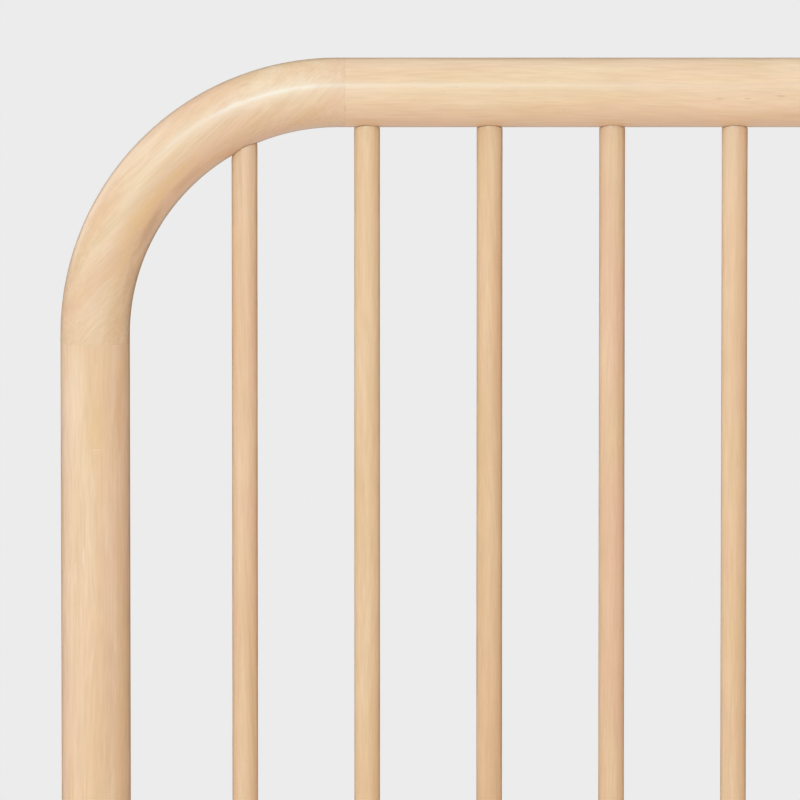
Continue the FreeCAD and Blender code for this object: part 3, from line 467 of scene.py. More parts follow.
def timberPlace(tree, position, turn, centre, draw):
    # the same point in the timber that the piece was cut from
    place = placed(tree, vectorCalc(tree, "SUBTRACT", position, tuple(centre)), turn)
    lean = sawing["lean"]
    skew = (draw.uniform(-lean, lean), draw.uniform(-lean, lean), draw.uniform(0, 2 * math.pi))
    return placed(tree, place, skew, (0, 0, draw.uniform(*sawing["start"])))


def addBump(tree, shader, height, distance, strength=None):
    bump = tree.nodes.new("ShaderNodeBump")
    plug(tree, bump.inputs["Distance"], distance)
    plug(tree, bump.inputs["Strength"], strength)
    plug(tree, bump.inputs["Height"], height)
    plug(tree, shader["Normal"], bump.outputs[0])


def woodMaterial(name, turn, centre, seed, lines=(), tint=(1, 1, 1), bare=False, streaks=(),
                 **changes):
    # turn: how the grain lies; centre: where the timber's own axis passes through the piece;
    # lines: glue lines and painted crease shade drawn on it, each a group, its values and its
    # strength;
    # streaks: placed one by one, each its values, its tone and its strength
    material, tree, shader = newMaterial(name)
    draw = random.Random(seed)
    position = objectPosition(tree)
    place = timberPlace(tree, position, grainTurns[turn], centre, draw)
    values = {tone: woodTones[tone] for tone in ("pale", "honey", "blush", "lateWood")}
    values["pith"] = (draw.uniform(*sawing["pithX"]), draw.uniform(*sawing["pithY"]), 0.0)
    values.update(changes)
    for tone in ("pale", "honey", "blush"):
        values[tone] = tuple(part * share for part, share in zip(values[tone], tint)) + (1,)
    wood = useGroup(tree, timberGrain, position=place, **values)
    colour = wood["Color"]
    marks = [(placedStreak, settings, streakTones[tone], strength)
             for settings, tone, strength in streaks]
    # glue lines darken the wood, and so does painted shade in the creases round the spindles
    marks += [(group, settings, woodTones["jointShadow"], strength)
              for group, settings, strength in lines]
    for group, settings, tone, strength in marks:
        mask = useGroup(tree, group, position=position, **settings)["Mask"]
        colour = mixColour(tree, calc(tree, "MULTIPLY", mask, strength), colour, tone)
    plug(tree, shader["Base Color"], colour)
    plug(tree, shader["Roughness"], wood["Roughness"])
    addBump(tree, shader, wood["Height"], lacquer["bump"], lacquer["bumpStrength"])
    shader["Specular IOR Level"].default_value = lacquer["bareSpecular" if bare else "specular"]
    if not bare:
        plug(tree, shader["Coat Weight"], calc(tree, "MULTIPLY", wood["Lacquer"], lacquer["coat"]))
        shader["Coat Roughness"].default_value = lacquer["coatRoughness"]
    return material


def coat(node, material):
    for slot in nodes[node].material_slots:
        slot.material = material


arch = {
    "bendRadius": 0.178,
    "straightEnd": 0.006,
    "seamStrength": 0.30,
    "nickBelow": 0.0110,        # how far under the bar's axis a splinter is lost at a joint
    # how strongly the glue line and painted crease shade show round each hole
    "holeStrength": 0.45,
    "spindleSpacing": 0.090,
    "aloneSpacing": 4.0,        # wide enough for one hole only
    "spindleRadius": 0.0095,
    "cornerInset": 0.4,         # where the corner's timber axis runs, as a share of the bend
    # how each piece differs from the common tone
    "postTint": (1.00, 0.98, 1.005),
    "cornerTint": (0.965, 0.955, 0.975),
    "railTint": (1.02, 1.03, 1.075),
}
boards = ("headboard", "footboard")
sides = {"left": -1, "right": 1}

# streaks seen on the headboard, by piece, mostly grain, with painted highlight and painted shade on
# the corner: distance right of the left post's axis and below the top rail's axis, slant in degrees,
# half length, half width, all in mm, then raggedness, tone, strength
seenStreaks = {
    "headboard_left_corner": (
        # its light streaks lie along the lacquer's highlight on the bend and are painted highlight
        (2, 94, 55, 25, 9, 0.4, "tan", 0.55),
        (13, 82, 50, 22, 6.5, 0.4, "tan", 0.6),
        (8, 114, 30, 22, 6, 0.4, "light", 0.15),
        (-2, 142, 40, 37, 5, 0.3, "tan", 0.45),
        (-14, 157, 35, 16, 4.5, 0.3, "tan", 0.35),
        (36, 89, 50, 32, 8, 0.3, "honey", 0.65),
        (58, 63, 45, 33, 6, 0.3, "honey", 0.5),
        (22, 123, 62, 26, 6.5, 0.3, "honey", 0.4),
        # these dark streaks follow the inner edge of the bend and are painted shade
        (41, 98, 60, 28, 4, 0.2, "dark", 0.3),
        (66, 65, 45, 22, 3, 0.2, "dark", 0.18),
        (25, 136, 75, 22, 3, 0.2, "dark", 0.15),
        (128, 0, 14, 40, 12, 0.4, "light", 0.4),
        (61, 31, 45, 25, 3, 0.3, "light", 0.15),
        (86, 12, 38, 18, 2.5, 0.3, "light", 0.25),
        (39, 39, 46, 34, 5, 0.35, "light", 0.35),
        (88, 3, 36, 29, 3.5, 0.3, "tan", 0.25),
        (53, 50, 45, 29, 3.5, 0.3, "tan", 0.4),
        (164, 12, 8, 20, 3.5, 0.4, "tan", 0.25),
    ),
    "headboard_left_post": (
        (-17, 229, 82, 55, 9.5, 0.3, "light", 0.25),
        (2, 246, 84, 31, 7.5, 0.4, "honey", 0.45),
        (18, 230, 88, 45, 4, 0.3, "tan", 0.55),
        (-8, 341, 90, 12, 1.5, 0.3, "light", 0.45),
        (9, 328, 89, 15, 1.5, 0.3, "light", 0.4),
        (1, 261.5, 2, 6, 0.5, 0.1, "light", 0.45),
        (1.5, 263.5, 2, 4.5, 0.4, 0.1, "light", 0.35),
        (1.5, 439, 90, 22, 1.2, 0.3, "tan", 0.3),
    ),
    "headboard_top_rail": (
        (304, -2.5, 0, 16, 0.7, 0.2, "tan", 0.45),
        (458, 3.5, 2, 4.5, 0.6, 0.2, "dark", 0.35),
        (478.5, 3.5, 0, 3, 0.6, 0.2, "dark", 0.4),
        (503, 1.5, -3, 4.5, 0.6, 0.2, "dark", 0.35),
        (309, 11.5, -8, 13, 1.2, 0.3, "tan", 0.35),
        (326, 9.5, 12, 10, 1.2, 0.3, "tan", 0.3),
        (445, -17, 0, 44, 4.5, 0.4, "tan", 0.12),
        (247, 3.5, 1, 44, 3, 0.4, "honey", 0.2),
    ),
}


def archLevels(board):
    # the top bar's radius and the level of its axis
    low, high = boxes[f"{board}_top_rail"]
    radius = (high.z - low.z) / 2
    return radius, low.z + radius


def streaksOn(piece):
    # the same streaks as settings for the wood of one piece
    cornerX = middleOf("headboard_left_post").x
    boardY = middleOf("headboard_top_rail").y
    axisLevel = archLevels("headboard")[1]
    found = []
    for right, below, slant, length, width, ragged, tone, strength in seenStreaks.get(piece, ()):
        middle = (cornerX + right / 1000, boardY, axisLevel - below / 1000)
        found.append(({"middle": middle, "slant": math.radians(slant), "halfLength": length / 1000,
                       "halfWidth": width / 1000, "ragged": ragged}, tone, strength))
    return found


def seamAcross(board, x):
    # an upright joint in the top bar
    radius, axisLevel = archLevels(board)
    boardY = middleOf(f"{board}_top_rail").y
    below = arch["nickBelow"]
    nick = (x, boardY - math.sqrt(radius ** 2 - below ** 2), axisLevel - below)
    return (glueSeam, {"joint": (x, boardY, axisLevel), "direction": (1, 0, 0), "nick": nick},
            arch["seamStrength"])


def holeShadesFrom(first, side, spacing):
    # the glue lines with painted crease shade round the holes of a row of spindles
    return (holeShadeLine, {"first": first, "side": side, "spacing": spacing,
                       "radius": arch["spindleRadius"]}, arch["holeStrength"])


def finishUpright(board, side, sign):
    # a post and the corner over it
    axisLevel = archLevels(board)[1]
    bend = arch["bendRadius"]
    reach = bend + arch["straightEnd"]
    postX = middleOf(f"{board}_{side}_post").x
    boardY = middleOf(f"{board}_top_rail").y
    firstX = abs(middleOf(f"{board}_spindle_01").x)
    seamUp = (glueSeam, {"joint": (postX, boardY, axisLevel - reach), "direction": (0, 0, 1)},
              arch["seamStrength"])
    run = bend - abs(postX) + firstX
    level = axisLevel - bend + math.sqrt(bend ** 2 - run ** 2)
    hole = holeShadesFrom((sign * firstX, boardY, level), -1.0, arch["aloneSpacing"])
    coat(f"{board}_{side}_post",
         woodMaterial(f"{board}{side.title()}PostWood", "upright", (postX, boardY, axisLevel),
                      seeds[board]["post"] + sign, [seamUp], arch["postTint"],
                      streaks=streaksOn(f"{board}_{side}_post"), ringWidth=10.0, wander=22.0))
    inset = bend * arch["cornerInset"]
    coat(f"{board}_{side}_corner",
         woodMaterial(f"{board}{side.title()}CornerWood", f"{side}Corner",
                      (postX - sign * inset, boardY, axisLevel - inset),
                      seeds[board]["corner"] + sign,
                      [seamUp, seamAcross(board, postX - sign * reach), hole],
                      arch["cornerTint"], streaks=streaksOn(f"{board}_{side}_corner"),
                      ringWidth=15.0, blushAmount=0.6, wander=18.0))


def finishArch(board):
    for side, sign in sides.items():
        finishUpright(board, side, sign)
    axisLevel = archLevels(board)[1]
    railLow, railHigh = boxes[f"{board}_top_rail"]
    boardY = middleOf(f"{board}_top_rail").y
    firstX = middleOf(f"{board}_spindle_01").x
    spacing = arch["spindleSpacing"]
    coat(f"{board}_top_rail",
         woodMaterial(f"{board}TopRailWood", "across", (0, boardY, axisLevel),
                      seeds[board]["topRail"],
                      [seamAcross(board, railLow.x), seamAcross(board, railHigh.x),
                       holeShadesFrom((firstX, boardY, axisLevel), -1.0, spacing)],
                      arch["railTint"], streaks=streaksOn(f"{board}_top_rail"),
                      ringWidth=11.0, wander=18.0))
    lower = middleOf(f"{board}_lower_rail")
    coat(f"{board}_lower_rail",
         woodMaterial(f"{board}LowerRailWood", "across", lower, seeds[board]["lowerRail"],
                      [holeShadesFrom((firstX, boardY, lower.z), 1.0, spacing)], arch["railTint"],
                      ringWidth=9.0))
    print(board, "arch finished")


for board in boards:
    finishArch(board)


spindle = {
    "count": 10,
    "around": 64,
    "footChamfer": 0.001,
    "bodyStep": 0.030,                    # between the rings of the plain length
    "turningWave": 0.00005,
    "wavePaces": (61.0, 103.0, 197.0),    # radians a metre
    # how strongly the glue line and painted crease shade show where a spindle enters a bar
    "lineStrength": 0.75,
    # eased shoulder where a spindle leaves its hole: distance out, cut into the radius
    "shoulder": ((-0.0025, 0.0), (-0.0005, 0.0001), (0.0, 0.00035), (0.0005, 0.00025),
                 (0.0011, 0.0001), (0.0018, 0.0), (0.005, 0.0)),
}

# the range that each spindle's look is drawn from: shares of the common tone, then amounts
spindleRange = {"red": (0.94, 0.99), "green": (0.97, 1.0), "blue": (0.95, 1.02),
                "blush": (0.1, 0.9), "ringDepth": (0.12, 0.22)}

# the headboard's first five, as the photograph shows them: tint, blush and ring depth
spindleLooks = {
    1: ((0.980, 0.930, 0.925), 0.60, 0.20),
    2: ((0.990, 0.970, 0.940), 0.20, 0.12),
    3: ((0.950, 0.890, 0.850), 0.25, 0.20),
    4: ((0.970, 0.935, 0.920), 0.85, 0.22),
    5: ((0.980, 0.950, 0.935), 0.45, 0.14),
}


def spindleLevels(board, centre, radius, directions):
    # where each side of the spindle leaves the lower rail and enters the arch
    barRadius, axisLevel = archLevels(board)
    lowerLow, lowerHigh = boxes[f"{board}_lower_rail"]
    lowerRadius = (lowerHigh.z - lowerLow.z) / 2
    postX = abs(middleOf(f"{board}_left_post").x)
    feet = []
    tops = []
    for angle in directions:
        x = centre.x + radius * math.cos(angle)
        y = radius * math.sin(angle)
        feet.append(lowerLow.z + lowerRadius + math.sqrt(lowerRadius ** 2 - y ** 2))
        half = math.sqrt(barRadius ** 2 - y ** 2)
        run = max(0.0, arch["bendRadius"] - (postX - abs(x)))
        inner = arch["bendRadius"] - half
        tops.append(axisLevel - arch["bendRadius"] + math.sqrt(inner ** 2 - run ** 2))
    return feet, tops


def meshPiece(name, mesh):
    data = bpy.data.meshes.new(name)
    mesh.to_mesh(data)
    mesh.free()
    piece = bpy.data.objects.new(name, data)
    bpy.context.scene.collection.objects.link(piece)
    return piece


def ringPoints(mesh, centre, ring):
    # ring: radius and level for each direction
    points = []
    for i, (radius, level) in enumerate(ring):
        angle = 2 * math.pi * i / len(ring)
        points.append(mesh.verts.new((centre.x + radius * math.cos(angle),
                                      centre.y + radius * math.sin(angle), level)))
    return points


def bridgeRings(mesh, centre, rings):
    # the wall through a stack of rings, open at both ends
    rows = [ringPoints(mesh, centre, ring) for ring in rings]
    for below, above in zip(rows, rows[1:]):
        for i in range(len(below)):
            j = (i + 1) % len(below)
            mesh.faces.new((below[i], below[j], above[j], above[i]))
    return rows


def turnSpindle(board, number):
    name = f"{board}_spindle_{number:02d}"
    low, high = boxes[name]
    centre = middleOf(name)
    radius = (high.x - low.x) / 2
    around = spindle["around"]
    draw = random.Random(seeds[board]["turning"] + number)
    phases = [draw.uniform(0, 2 * math.pi) for pace in spindle["wavePaces"]]
    directions = [2 * math.pi * i / around for i in range(around)]
    feet, tops = spindleLevels(board, centre, radius, directions)
    shoulder = spindle["shoulder"]
    clear = shoulder[-1][0]
    plain = int((min(tops) - max(feet) - 2 * clear) / spindle["bodyStep"])
    chamfer = spindle["footChamfer"]

    def cutRing(levels, cut):
        return [(radius - cut, level) for level in levels]

    rings = [cutRing([low.z] * around, chamfer), cutRing([low.z + chamfer] * around, 0.0)]
    rings += [cutRing([foot + out for foot in feet], cut) for out, cut in shoulder]
    for i in range(1, plain):
        part = i / plain
        levels = [(foot + clear) * (1 - part) + (top - clear) * part
                  for foot, top in zip(feet, tops)]
        wave = sum(math.sin(levels[0] * pace + shift)
                   for pace, shift in zip(spindle["wavePaces"], phases))
        rings.append(cutRing(levels, (wave / len(phases) + 1) * spindle["turningWave"]))
    rings += [cutRing([top - out for top in tops], cut) for out, cut in reversed(shoulder)]
    rings += [cutRing([high.z - chamfer] * around, 0.0), cutRing([high.z] * around, chamfer)]
    mesh = bmesh.new()
    rows = bridgeRings(mesh, centre, rings)
    for face in mesh.faces:
        face.smooth = True
    mesh.faces.new(list(reversed(rows[0])))
    mesh.faces.new(rows[-1])
    return meshPiece(f"{name}_turned", mesh)


def spindleLook(board, number):
    # tint, blush and ring depth: as the photograph shows, or drawn at random
    if board == "headboard" and number in spindleLooks:
        return spindleLooks[number]
    draw = random.Random(seeds[board]["spindle"] + number)
    red = draw.uniform(*spindleRange["red"])
    green = red * draw.uniform(*spindleRange["green"])
    blue = red * draw.uniform(*spindleRange["blue"])
    return ((red, green, blue), draw.uniform(*spindleRange["blush"]),
            draw.uniform(*spindleRange["ringDepth"]))


def spindleShadeLines(board, centre):
    # the let-in lines, glue line and painted crease shade, at the spindle's top and foot
    barRadius, axisLevel = archLevels(board)
    lower = middleOf(f"{board}_lower_rail")
    lowerLow, lowerHigh = boxes[f"{board}_lower_rail"]
    bend = arch["bendRadius"]
    bendX = abs(middleOf(f"{board}_left_post").x) - bend
    top = {"bar": (0, centre.y, axisLevel), "barRadius": barRadius}
    if abs(centre.x) > bendX:
        top = {"bar": (math.copysign(bendX, centre.x), centre.y, axisLevel - bend),
               "barRadius": barRadius, "bendRadius": bend}
    foot = {"bar": (0, centre.y, lower.z), "barRadius": (lowerHigh.z - lowerLow.z) / 2}
    return [(letInShadeLine, end, spindle["lineStrength"]) for end in (top, foot)]


def makeSpindles(board):
    for number in range(1, spindle["count"] + 1):
        name = f"{board}_spindle_{number:02d}"
        centre = middleOf(name)
        tint, blushAmount, ringDepth = spindleLook(board, number)
        piece = turnSpindle(board, number)
        piece.data.materials.append(
            woodMaterial(f"{board}Spindle{number:02d}Wood", "upright", centre,
                         seeds[board]["spindle"] + number, spindleShadeLines(board, centre), tint,
                         ringWidth=7.0, ringDepth=ringDepth, blushAmount=blushAmount))
        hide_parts(name)
        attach(piece, "bed_frame")
    print(board, "spindles turned")


for board in boards:
    makeSpindles(board)


slatWood = {
    "pale": (0.810, 0.585, 0.390),
    "honey": (0.755, 0.510, 0.310),
    "blush": (0.795, 0.520, 0.355),
    "lateWood": (0.530, 0.300, 0.150, 1),
    "ringWidth": 5.5,
    "ringDepth": 0.34,
    "fibreDepth": 0.26,
}

# each slat's tint, and the ranges that its share of it and its blush are drawn from
slatLook = {"tint": (1.0, 0.995, 0.98), "share": (0.93, 1.03), "blush": (0.1, 0.6)}


def finishSlats():
    slats = sorted(name for name in nodes if name.startswith("slat_"))
    for number, name in enumerate(slats, 1):
        seed = seeds["base"]["slat"] + number
        draw = random.Random(seed)
        share = draw.uniform(*slatLook["share"])
        tint = [share * part for part in slatLook["tint"]]
        coat(name, woodMaterial(f"slatWood{number:02d}", "across", middleOf(name), seed, tint=tint,
                                bare=True, blushAmount=draw.uniform(*slatLook["blush"]), **slatWood))
    print(len(slats), "slats finished")


def finishBase():
    seed = seeds["base"]
    for side, sign in sides.items():
        rail = f"{side}_side_rail"
        ledge = f"{side}_slat_ledge"
        coat(rail, woodMaterial(f"{side}SideRailWood", "along", middleOf(rail),
                                seed["sideRail"] + sign, ringWidth=11.0, ringDepth=0.28))
        coat(ledge, woodMaterial(f"{side}LedgeWood", "along", middleOf(ledge),
                                 seed["ledge"] + sign, bare=True, **slatWood))
    coat("centre_beam", woodMaterial("beamWood", "along", middleOf("centre_beam"), seed["beam"],
                                     bare=True, **slatWood))
    coat("support_leg", woodMaterial("legWood", "upright", middleOf("support_leg"), seed["leg"]))
    for name, node, turn in (("frameDowelWood", "frame_dowels", "upright"),
                             ("sideDowelWood", "side_rail_dowels", "along")):
        coat(node, woodMaterial(name, turn, middleOf(node), seed["dowel"], bare=True, ringWidth=2.5))
    print("rails, ledges, beam and leg finished")


finishBase()
finishSlats()


zinc = {"colour": (0.60, 0.61, 0.63, 1), "dull": (0.46, 0.47, 0.49, 1), "roughness": 0.30,
        "metallic": 1.0, "bump": 0.00002}
nylon = {"colour": (0.74, 0.71, 0.64, 1), "dull": (0.63, 0.60, 0.53, 1), "roughness": 0.45,
         "metallic": 0.0, "bump": 0.00003}
roughnessSpread = 0.16      # between their smoothest and roughest specks


def speckMaterial(name, finish):
    material, tree, shader = newMaterial(name)
    speck = useGroup(tree, fineSpeck, position=objectPosition(tree))
    cloud = remap(tree, speck["Cloud"], 0.35, 0.65)
    plug(tree, shader["Base Color"], mixColour(tree, cloud, finish["colour"], finish["dull"]))
    rough = calc(tree, "MULTIPLY", speck["Grain"], roughnessSpread)
    rough = calc(tree, "ADD", rough, finish["roughness"] - roughnessSpread / 2)
    plug(tree, shader["Roughness"], rough)
    shader["Metallic"].default_value = finish["metallic"]
    addBump(tree, shader, speck["Grain"], finish["bump"])
    return material


zincSteel = speckMaterial("zincSteel", zinc)
naturalNylon = speckMaterial("naturalNylon", nylon)
for name in ("side_rail_bolts", "barrel_nuts", "wood_screws", "leg_insert", "leg_cross_bolt"):
    coat(name, zincSteel)
coat("post_glides", naturalNylon)


screwFoot = {
    "around": 72,
    "edge": 0.0004,             # chamfer of the button and rise of the thread's first ring
    "buttonRadius": 0.005,
    "buttonLevels": (0.0043, 0.0073),
    "neckRadius": 0.003,
    "collarLevels": (0.0103, 0.0153),
    "collarAcrossFlats": 0.013,
    "washerShare": 0.94,        # washer face of the collar, as a share of its flats
    "cornerSlope": 0.577,       # how steeply the collar's corners are turned down
    "rootFillet": 0.0003,
    "threadRoot": 0.0033,
    "threadPitch": 0.00125,
    # one turn of the thread: share of the pitch, height over the root
    "threadProfile": ((0.0, 0.0), (0.12, 0.0003), (0.40, 0.00062), (0.50, 0.0007),
                      (0.60, 0.00062), (0.88, 0.0003)),
    "threadFade": 0.8,          # share of a turn in which the thread runs out at its ends
    "threadEnd": 0.060,
    "pointChamfer": 0.0008,
}


def plainRing(radius, level):
    return [(radius, level)] * screwFoot["around"]


def hexagonRing(level, lift):
    # a hexagon whose corners are turned down to the washer face
    part = screwFoot
    flat = part["collarAcrossFlats"] / 2
    washer = flat * part["washerShare"]
    ring = []
    for i in range(part["around"]):
        angle = 2 * math.pi * i / part["around"]
        reach = flat / math.cos((angle + math.pi / 6) % (math.pi / 3) - math.pi / 6)
        ring.append((reach, level + lift * (reach - washer) * part["cornerSlope"]))
    return ring


def buttonAndCollar():
    part = screwFoot
    edge = part["edge"]
    button = part["buttonRadius"]
    foot, top = part["buttonLevels"]
    under, over = part["collarLevels"]
    washer = part["collarAcrossFlats"] / 2 * part["washerShare"]
    return [plainRing(button - edge, foot), plainRing(button, foot + edge),
            plainRing(button, top - edge), plainRing(button - edge, top),
            plainRing(part["neckRadius"], top), plainRing(part["neckRadius"], under),
            plainRing(washer, under), hexagonRing(under, 1), hexagonRing(over, -1),
            plainRing(washer, over), plainRing(part["threadRoot"] + part["rootFillet"], over),
            plainRing(part["threadRoot"], over + edge)]


def threadRings(start, end):
    # levels climb a pitch with each turn round the stem
    part = screwFoot
    pitch = part["threadPitch"]
    run = part["threadFade"] * pitch
    steps = len(part["threadProfile"])
    rings = []
    for step in range(int((end - start) / pitch + 2) * steps):
        share, height = part["threadProfile"][step % steps]
        ring = []
        for i in range(part["around"]):
            level = start + pitch * (step // steps + share - 1 + i / part["around"])
            fade = min(1.0, max(0.0, (level - start) / run), max(0.0, (end - level) / run))
            ring.append((part["threadRoot"] + height * fade, min(max(level, start), end)))
        rings.append(ring)
    return rings


def tidyMesh(mesh, sharp, joined=0.000002, thinnest=0.000001):
    # joins points that meet, and keeps edges sharp where the surface turns by sharp degrees
    bmesh.ops.remove_doubles(mesh, verts=mesh.verts, dist=joined)
    bmesh.ops.dissolve_degenerate(mesh, edges=mesh.edges, dist=thinnest)
    bmesh.ops.recalc_face_normals(mesh, faces=mesh.faces)
    for face in mesh.faces:
        face.smooth = True
    for edge in mesh.edges:
        edge.smooth = len(edge.link_faces) == 2 and edge.calc_face_angle(0.0) < math.radians(sharp)
    return mesh


def makeStem():
    part = screwFoot
    centre = middleOf("leveller_stem")
    mesh = bmesh.new()
    rows = bridgeRings(mesh, centre, buttonAndCollar())
    mesh.faces.new(list(reversed(rows[0])))
    start = part["collarLevels"][1] + part["edge"]
    end = part["threadEnd"] - part["pointChamfer"]
    turn = len(part["threadProfile"])
    last = part["around"] - 1
    rows = [ringPoints(mesh, centre, ring) for ring in threadRings(start, end)]
    for step in range(len(rows) - 1):
        below, above = rows[step], rows[step + 1]
        for i in range(last):
            mesh.faces.new((below[i], below[i + 1], above[i + 1], above[i]))
        # the last direction meets the first one, a turn further up
        if step + 1 + turn < len(rows):
            mesh.faces.new((below[last], rows[step + turn][0], rows[step + 1 + turn][0],
                            above[last]))
    point = plainRing(part["threadRoot"] - part["pointChamfer"], part["threadEnd"])
    rows = bridgeRings(mesh, centre, [plainRing(part["threadRoot"], end), point])
    mesh.faces.new(rows[1])
    piece = meshPiece("leveller_stem_threaded", tidyMesh(mesh, sharp=40))
    piece.data.materials.append(zincSteel)
    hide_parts("leveller_stem")
    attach(piece, "foot_stem")


pad = {
    "radius": 0.016,
    "height": 0.010,
    "rim": 0.0086,              # level of the outer rim
    "lip": 0.0033,              # radius of the hole that the button snaps through
    "cavityRadius": 0.0053,
    "cavityLevels": (0.0040, 0.0076),
    "middle": 0.0010,           # radius of the flats that close the outline off
    "gripNotches": 24,
    "gripDepth": 0.0005,
    "pointsPerNotch": 8,
    "ribs": 12,
    "ribDepth": 0.0006,
    "ribSharpness": 6,
}


def padOutline():
    # from the middle of the sole, up the outside and down into the snap-in cavity:
    # radius, level, share of the grip's depth, share of the ribs' depth
    outer = pad["radius"]
    rim = pad["rim"]
    top = pad["height"]
    lip = pad["lip"]
    cavity = pad["cavityRadius"]
    floor, ceiling = pad["cavityLevels"]
    return ((pad["middle"], 0.0, 0, 0), (outer - 0.0010, 0.0, 0, 0),
            (outer - 0.0003, 0.0003, 0, 0), (outer, 0.0010, 0, 0), (outer, 0.0018, 0, 0),
            (outer, 0.0024, 1, 0), (outer, rim - 0.0020, 1, 0), (outer, rim - 0.0014, 0, 0),
            (outer, rim - 0.0009, 0, 0), (outer - 0.0003, rim - 0.0003, 0, 0),
            (outer - 0.0010, rim, 0, 0), (outer - 0.0022, rim + 0.0002, 0, 0),
            (outer - 0.0030, rim + 0.0003, 0, 1), (0.0080, top - 0.0004, 0, 1),
            (0.0073, top - 0.0002, 0, 0), (0.0066, top, 0, 0), (lip + 0.0004, top, 0, 0),
            (lip, top - 0.0004, 0, 0), (lip, ceiling, 0, 0), (cavity, ceiling, 0, 0),
            (cavity, floor, 0, 0), (pad["middle"], floor, 0, 0))


def padRing(radius, level, grip, rib):
    around = pad["gripNotches"] * pad["pointsPerNotch"]
    ring = []
    for i in range(around):
        turn = 2 * math.pi * i / around
        cut = grip * pad["gripDepth"] * (0.5 - 0.5 * math.cos(pad["gripNotches"] * turn))
        crest = max(0.0, math.cos(pad["ribs"] * turn)) ** pad["ribSharpness"]
        ring.append((radius - cut, level - rib * pad["ribDepth"] * crest))
    return ring


def makePad():
    mesh = bmesh.new()
    rows = bridgeRings(mesh, middleOf("leveller_pad"), [padRing(*point) for point in padOutline()])
    mesh.faces.new(list(reversed(rows[0])))
    mesh.faces.new(rows[-1])
    piece = meshPiece("leveller_pad_ribbed", tidyMesh(mesh, sharp=42))
    piece.data.materials.append(naturalNylon)
    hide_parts("leveller_pad")
    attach(piece, "foot_pad")


makeStem()
makePad()
print("fasteners and feet finished")


studio = {
    "backdrop": (0.838, 0.838, 0.838, 1),     # what the camera sees behind the bed
    "coolSide": (1.075, 1.078, 1.080, 1),     # surroundings towards the window side
    "warmSide": (0.300, 0.299, 0.297, 1),     # and away from it
    "window": (-0.58, -0.62, 0.53),           # where the window side lies
    "windowSpread": 0.9,                      # how gently one side turns into the other
    "ambientStrength": 1.0,
    "lightsAim": (-0.25, 0.99, 0.90),
    "shineStrength": 0.04,                    # the same surroundings as the lacquer mirrors them
    "floorRadius": 4.3,
    "floorFade": (0.5, 0.99),                 # shares of the radius between which it melts away
    "floorColour": (0.470, 0.465, 0.460, 1),
    "floorCloud": (0.450, 0.445, 0.440, 1),
    "floorRoughness": 0.7,
    "floorSpecular": 0.1,
    "floorGlow": 0.34,                        # light that a white studio floor sends back
}
lights = {
    # name: place, width, height, power in watts, colour
    "highlightStrip": ((-0.93, -1.544, 2.354), 1.5, 0.3, 28.6, (0.29, 0.75, 1.0)),
    "frontSoftbox": ((-1.009, -1.844, 1.524), 1.4, 1.0, 7.5, (1.0, 1.0, 1.0)),
    "leftSoftbox": ((-3.060, -0.504, 1.234), 1.2, 1.0, 2.3, (1.0, 1.0, 1.0)),
    "rightSoftbox": ((1.048, -1.926, 1.123), 1.6, 0.8, 5.2, (1.0, 1.0, 1.0)),
    "behindSoftbox": ((-0.25, 2.711, 3.357), 1.6, 1.6, 2.6, (1.0, 1.0, 1.0)),
    "sideSoftbox": ((-2.41, 2.802, 1.926), 1.4, 1.4, 7.9, (1.0, 1.0, 1.0)),
}
cameraSpot = {
    "photoWidth": 0.5887,        # metres across the photograph at the headboard
    "distance": 7.0,
    "elevation": 4.5,            # degrees looking down
    "fromPost": 0.2242,          # the picture's centre, right of the post's axis
    "belowRail": 0.2265,         # and below the top rail's axis
    "sensor": 36.0,
    "farthestSeen": 60.0,
}


def makeWorld():
    world = bpy.data.worlds.new("studio")
    bpy.context.scene.world = world
    world.use_nodes = True
    tree = world.node_tree
    tree.nodes.clear()
    direction = tree.nodes.new("ShaderNodeTexCoord").outputs["Generated"]
    towards = vectorCalc(tree, "DOT_PRODUCT", direction, studio["window"])
    side = remap(tree, towards, -studio["windowSpread"], studio["windowSpread"])
    surroundings = mixColour(tree, side, studio["warmSide"], studio["coolSide"])
    shades = {}
    for name, colour, strength in (("seen", studio["backdrop"], 1.0),
                                   ("lit", surroundings, studio["ambientStrength"]),
                                   ("mirrored", surroundings, studio["shineStrength"])):
        shade = tree.nodes.new("ShaderNodeBackground")
        plug(tree, shade.inputs["Color"], colour)
        shade.inputs["Strength"].default_value = strength
        shades[name] = shade.outputs[0]
    path = tree.nodes.new("ShaderNodeLightPath").outputs
    shine = tree.nodes.new("ShaderNodeMixShader")
    plug(tree, shine.inputs[0], path["Is Glossy Ray"])
    plug(tree, shine.inputs[1], shades["lit"])
    plug(tree, shine.inputs[2], shades["mirrored"])
    blend = tree.nodes.new("ShaderNodeMixShader")
    plug(tree, blend.inputs[0], path["Is Camera Ray"])
    plug(tree, blend.inputs[1], shine.outputs[0])
    plug(tree, blend.inputs[2], shades["seen"])
    plug(tree, tree.nodes.new("ShaderNodeOutputWorld").inputs["Surface"], blend.outputs[0])


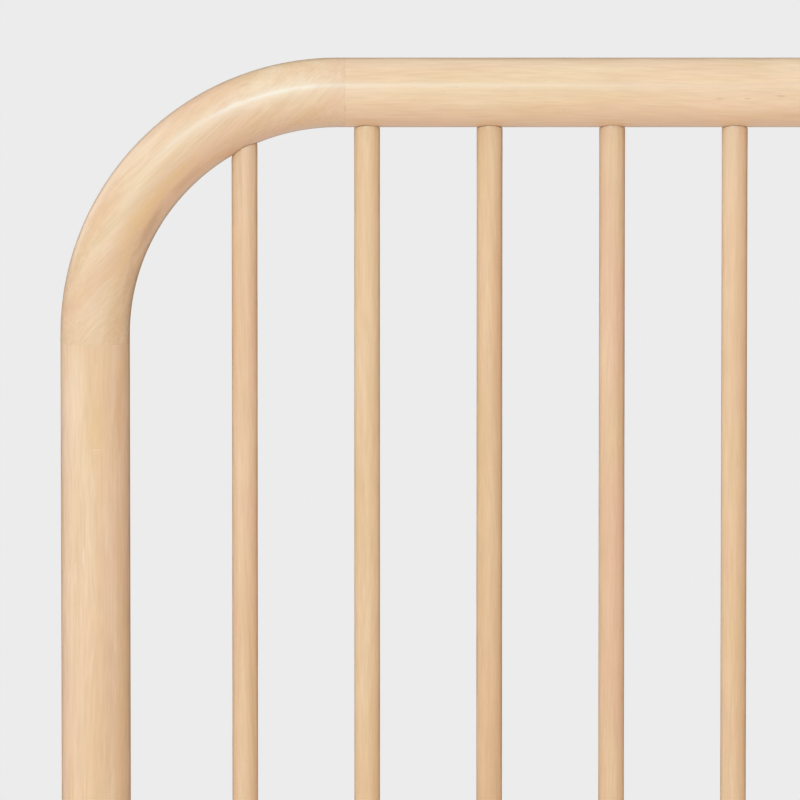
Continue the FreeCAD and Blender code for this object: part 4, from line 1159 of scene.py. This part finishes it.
def makeFloor():
    mesh = bmesh.new()
    bmesh.ops.create_circle(mesh, cap_ends=True, cap_tris=False, segments=128,
                            radius=studio["floorRadius"])
    floor = meshPiece("floor", mesh)
    material, tree, shader = newMaterial("paleFloor")
    position = objectPosition(tree)
    speck = useGroup(tree, fineSpeck, position=position, cloudScale=0.9, grainScale=160.0)
    cloud = remap(tree, speck["Cloud"], 0.3, 0.7)
    plug(tree, shader["Base Color"],
         mixColour(tree, cloud, studio["floorColour"], studio["floorCloud"]))
    shader["Roughness"].default_value = studio["floorRoughness"]
    shader["Specular IOR Level"].default_value = studio["floorSpecular"]
    shader["Emission Color"].default_value = studio["backdrop"]
    shader["Emission Strength"].default_value = studio["floorGlow"] / studio["backdrop"][0]
    # the floor's rim melts into the backdrop
    rim = vectorCalc(tree, "LENGTH", vectorCalc(tree, "MULTIPLY", position, (1, 1, 0)))
    inner, outer = [share * studio["floorRadius"] for share in studio["floorFade"]]
    plug(tree, shader["Alpha"], remap(tree, rim, inner, outer, 1.0, 0.0))
    floor.data.materials.append(material)


def makeLights():
    for name, (place, width, height, power, colour) in lights.items():
        data = bpy.data.lights.new(name, "AREA")
        data.shape = "RECTANGLE"
        data.size = width
        data.size_y = height
        data.energy = power
        data.color = colour
        light = bpy.data.objects.new(name, data)
        light.location = place
        towards = Vector(studio["lightsAim"]) - Vector(place)
        light.rotation_euler = towards.to_track_quat("-Z", "Y").to_euler()
        bpy.context.scene.collection.objects.link(light)


def makeCamera():
    post = middleOf("headboard_left_post")
    axisLevel = archLevels("headboard")[1]
    tilt = math.radians(cameraSpot["elevation"])
    data = bpy.data.cameras.new("photoCamera")
    data.sensor_width = cameraSpot["sensor"]
    data.lens = cameraSpot["sensor"] * cameraSpot["distance"] / cameraSpot["photoWidth"]
    data.clip_end = cameraSpot["farthestSeen"]
    camera = bpy.data.objects.new("photoCamera", data)
    aim = Vector((post.x + cameraSpot["fromPost"], post.y, axisLevel - cameraSpot["belowRail"]))
    camera.location = aim + cameraSpot["distance"] * Vector((0, -math.cos(tilt), math.sin(tilt)))
    camera.rotation_euler = (math.radians(90) - tilt, 0, 0)
    bpy.context.scene.collection.objects.link(camera)
    bpy.context.scene.camera = camera


makeWorld()
makeFloor()
makeLights()
makeCamera()
bpy.context.scene.view_settings.view_transform = "Standard"
print("studio ready")
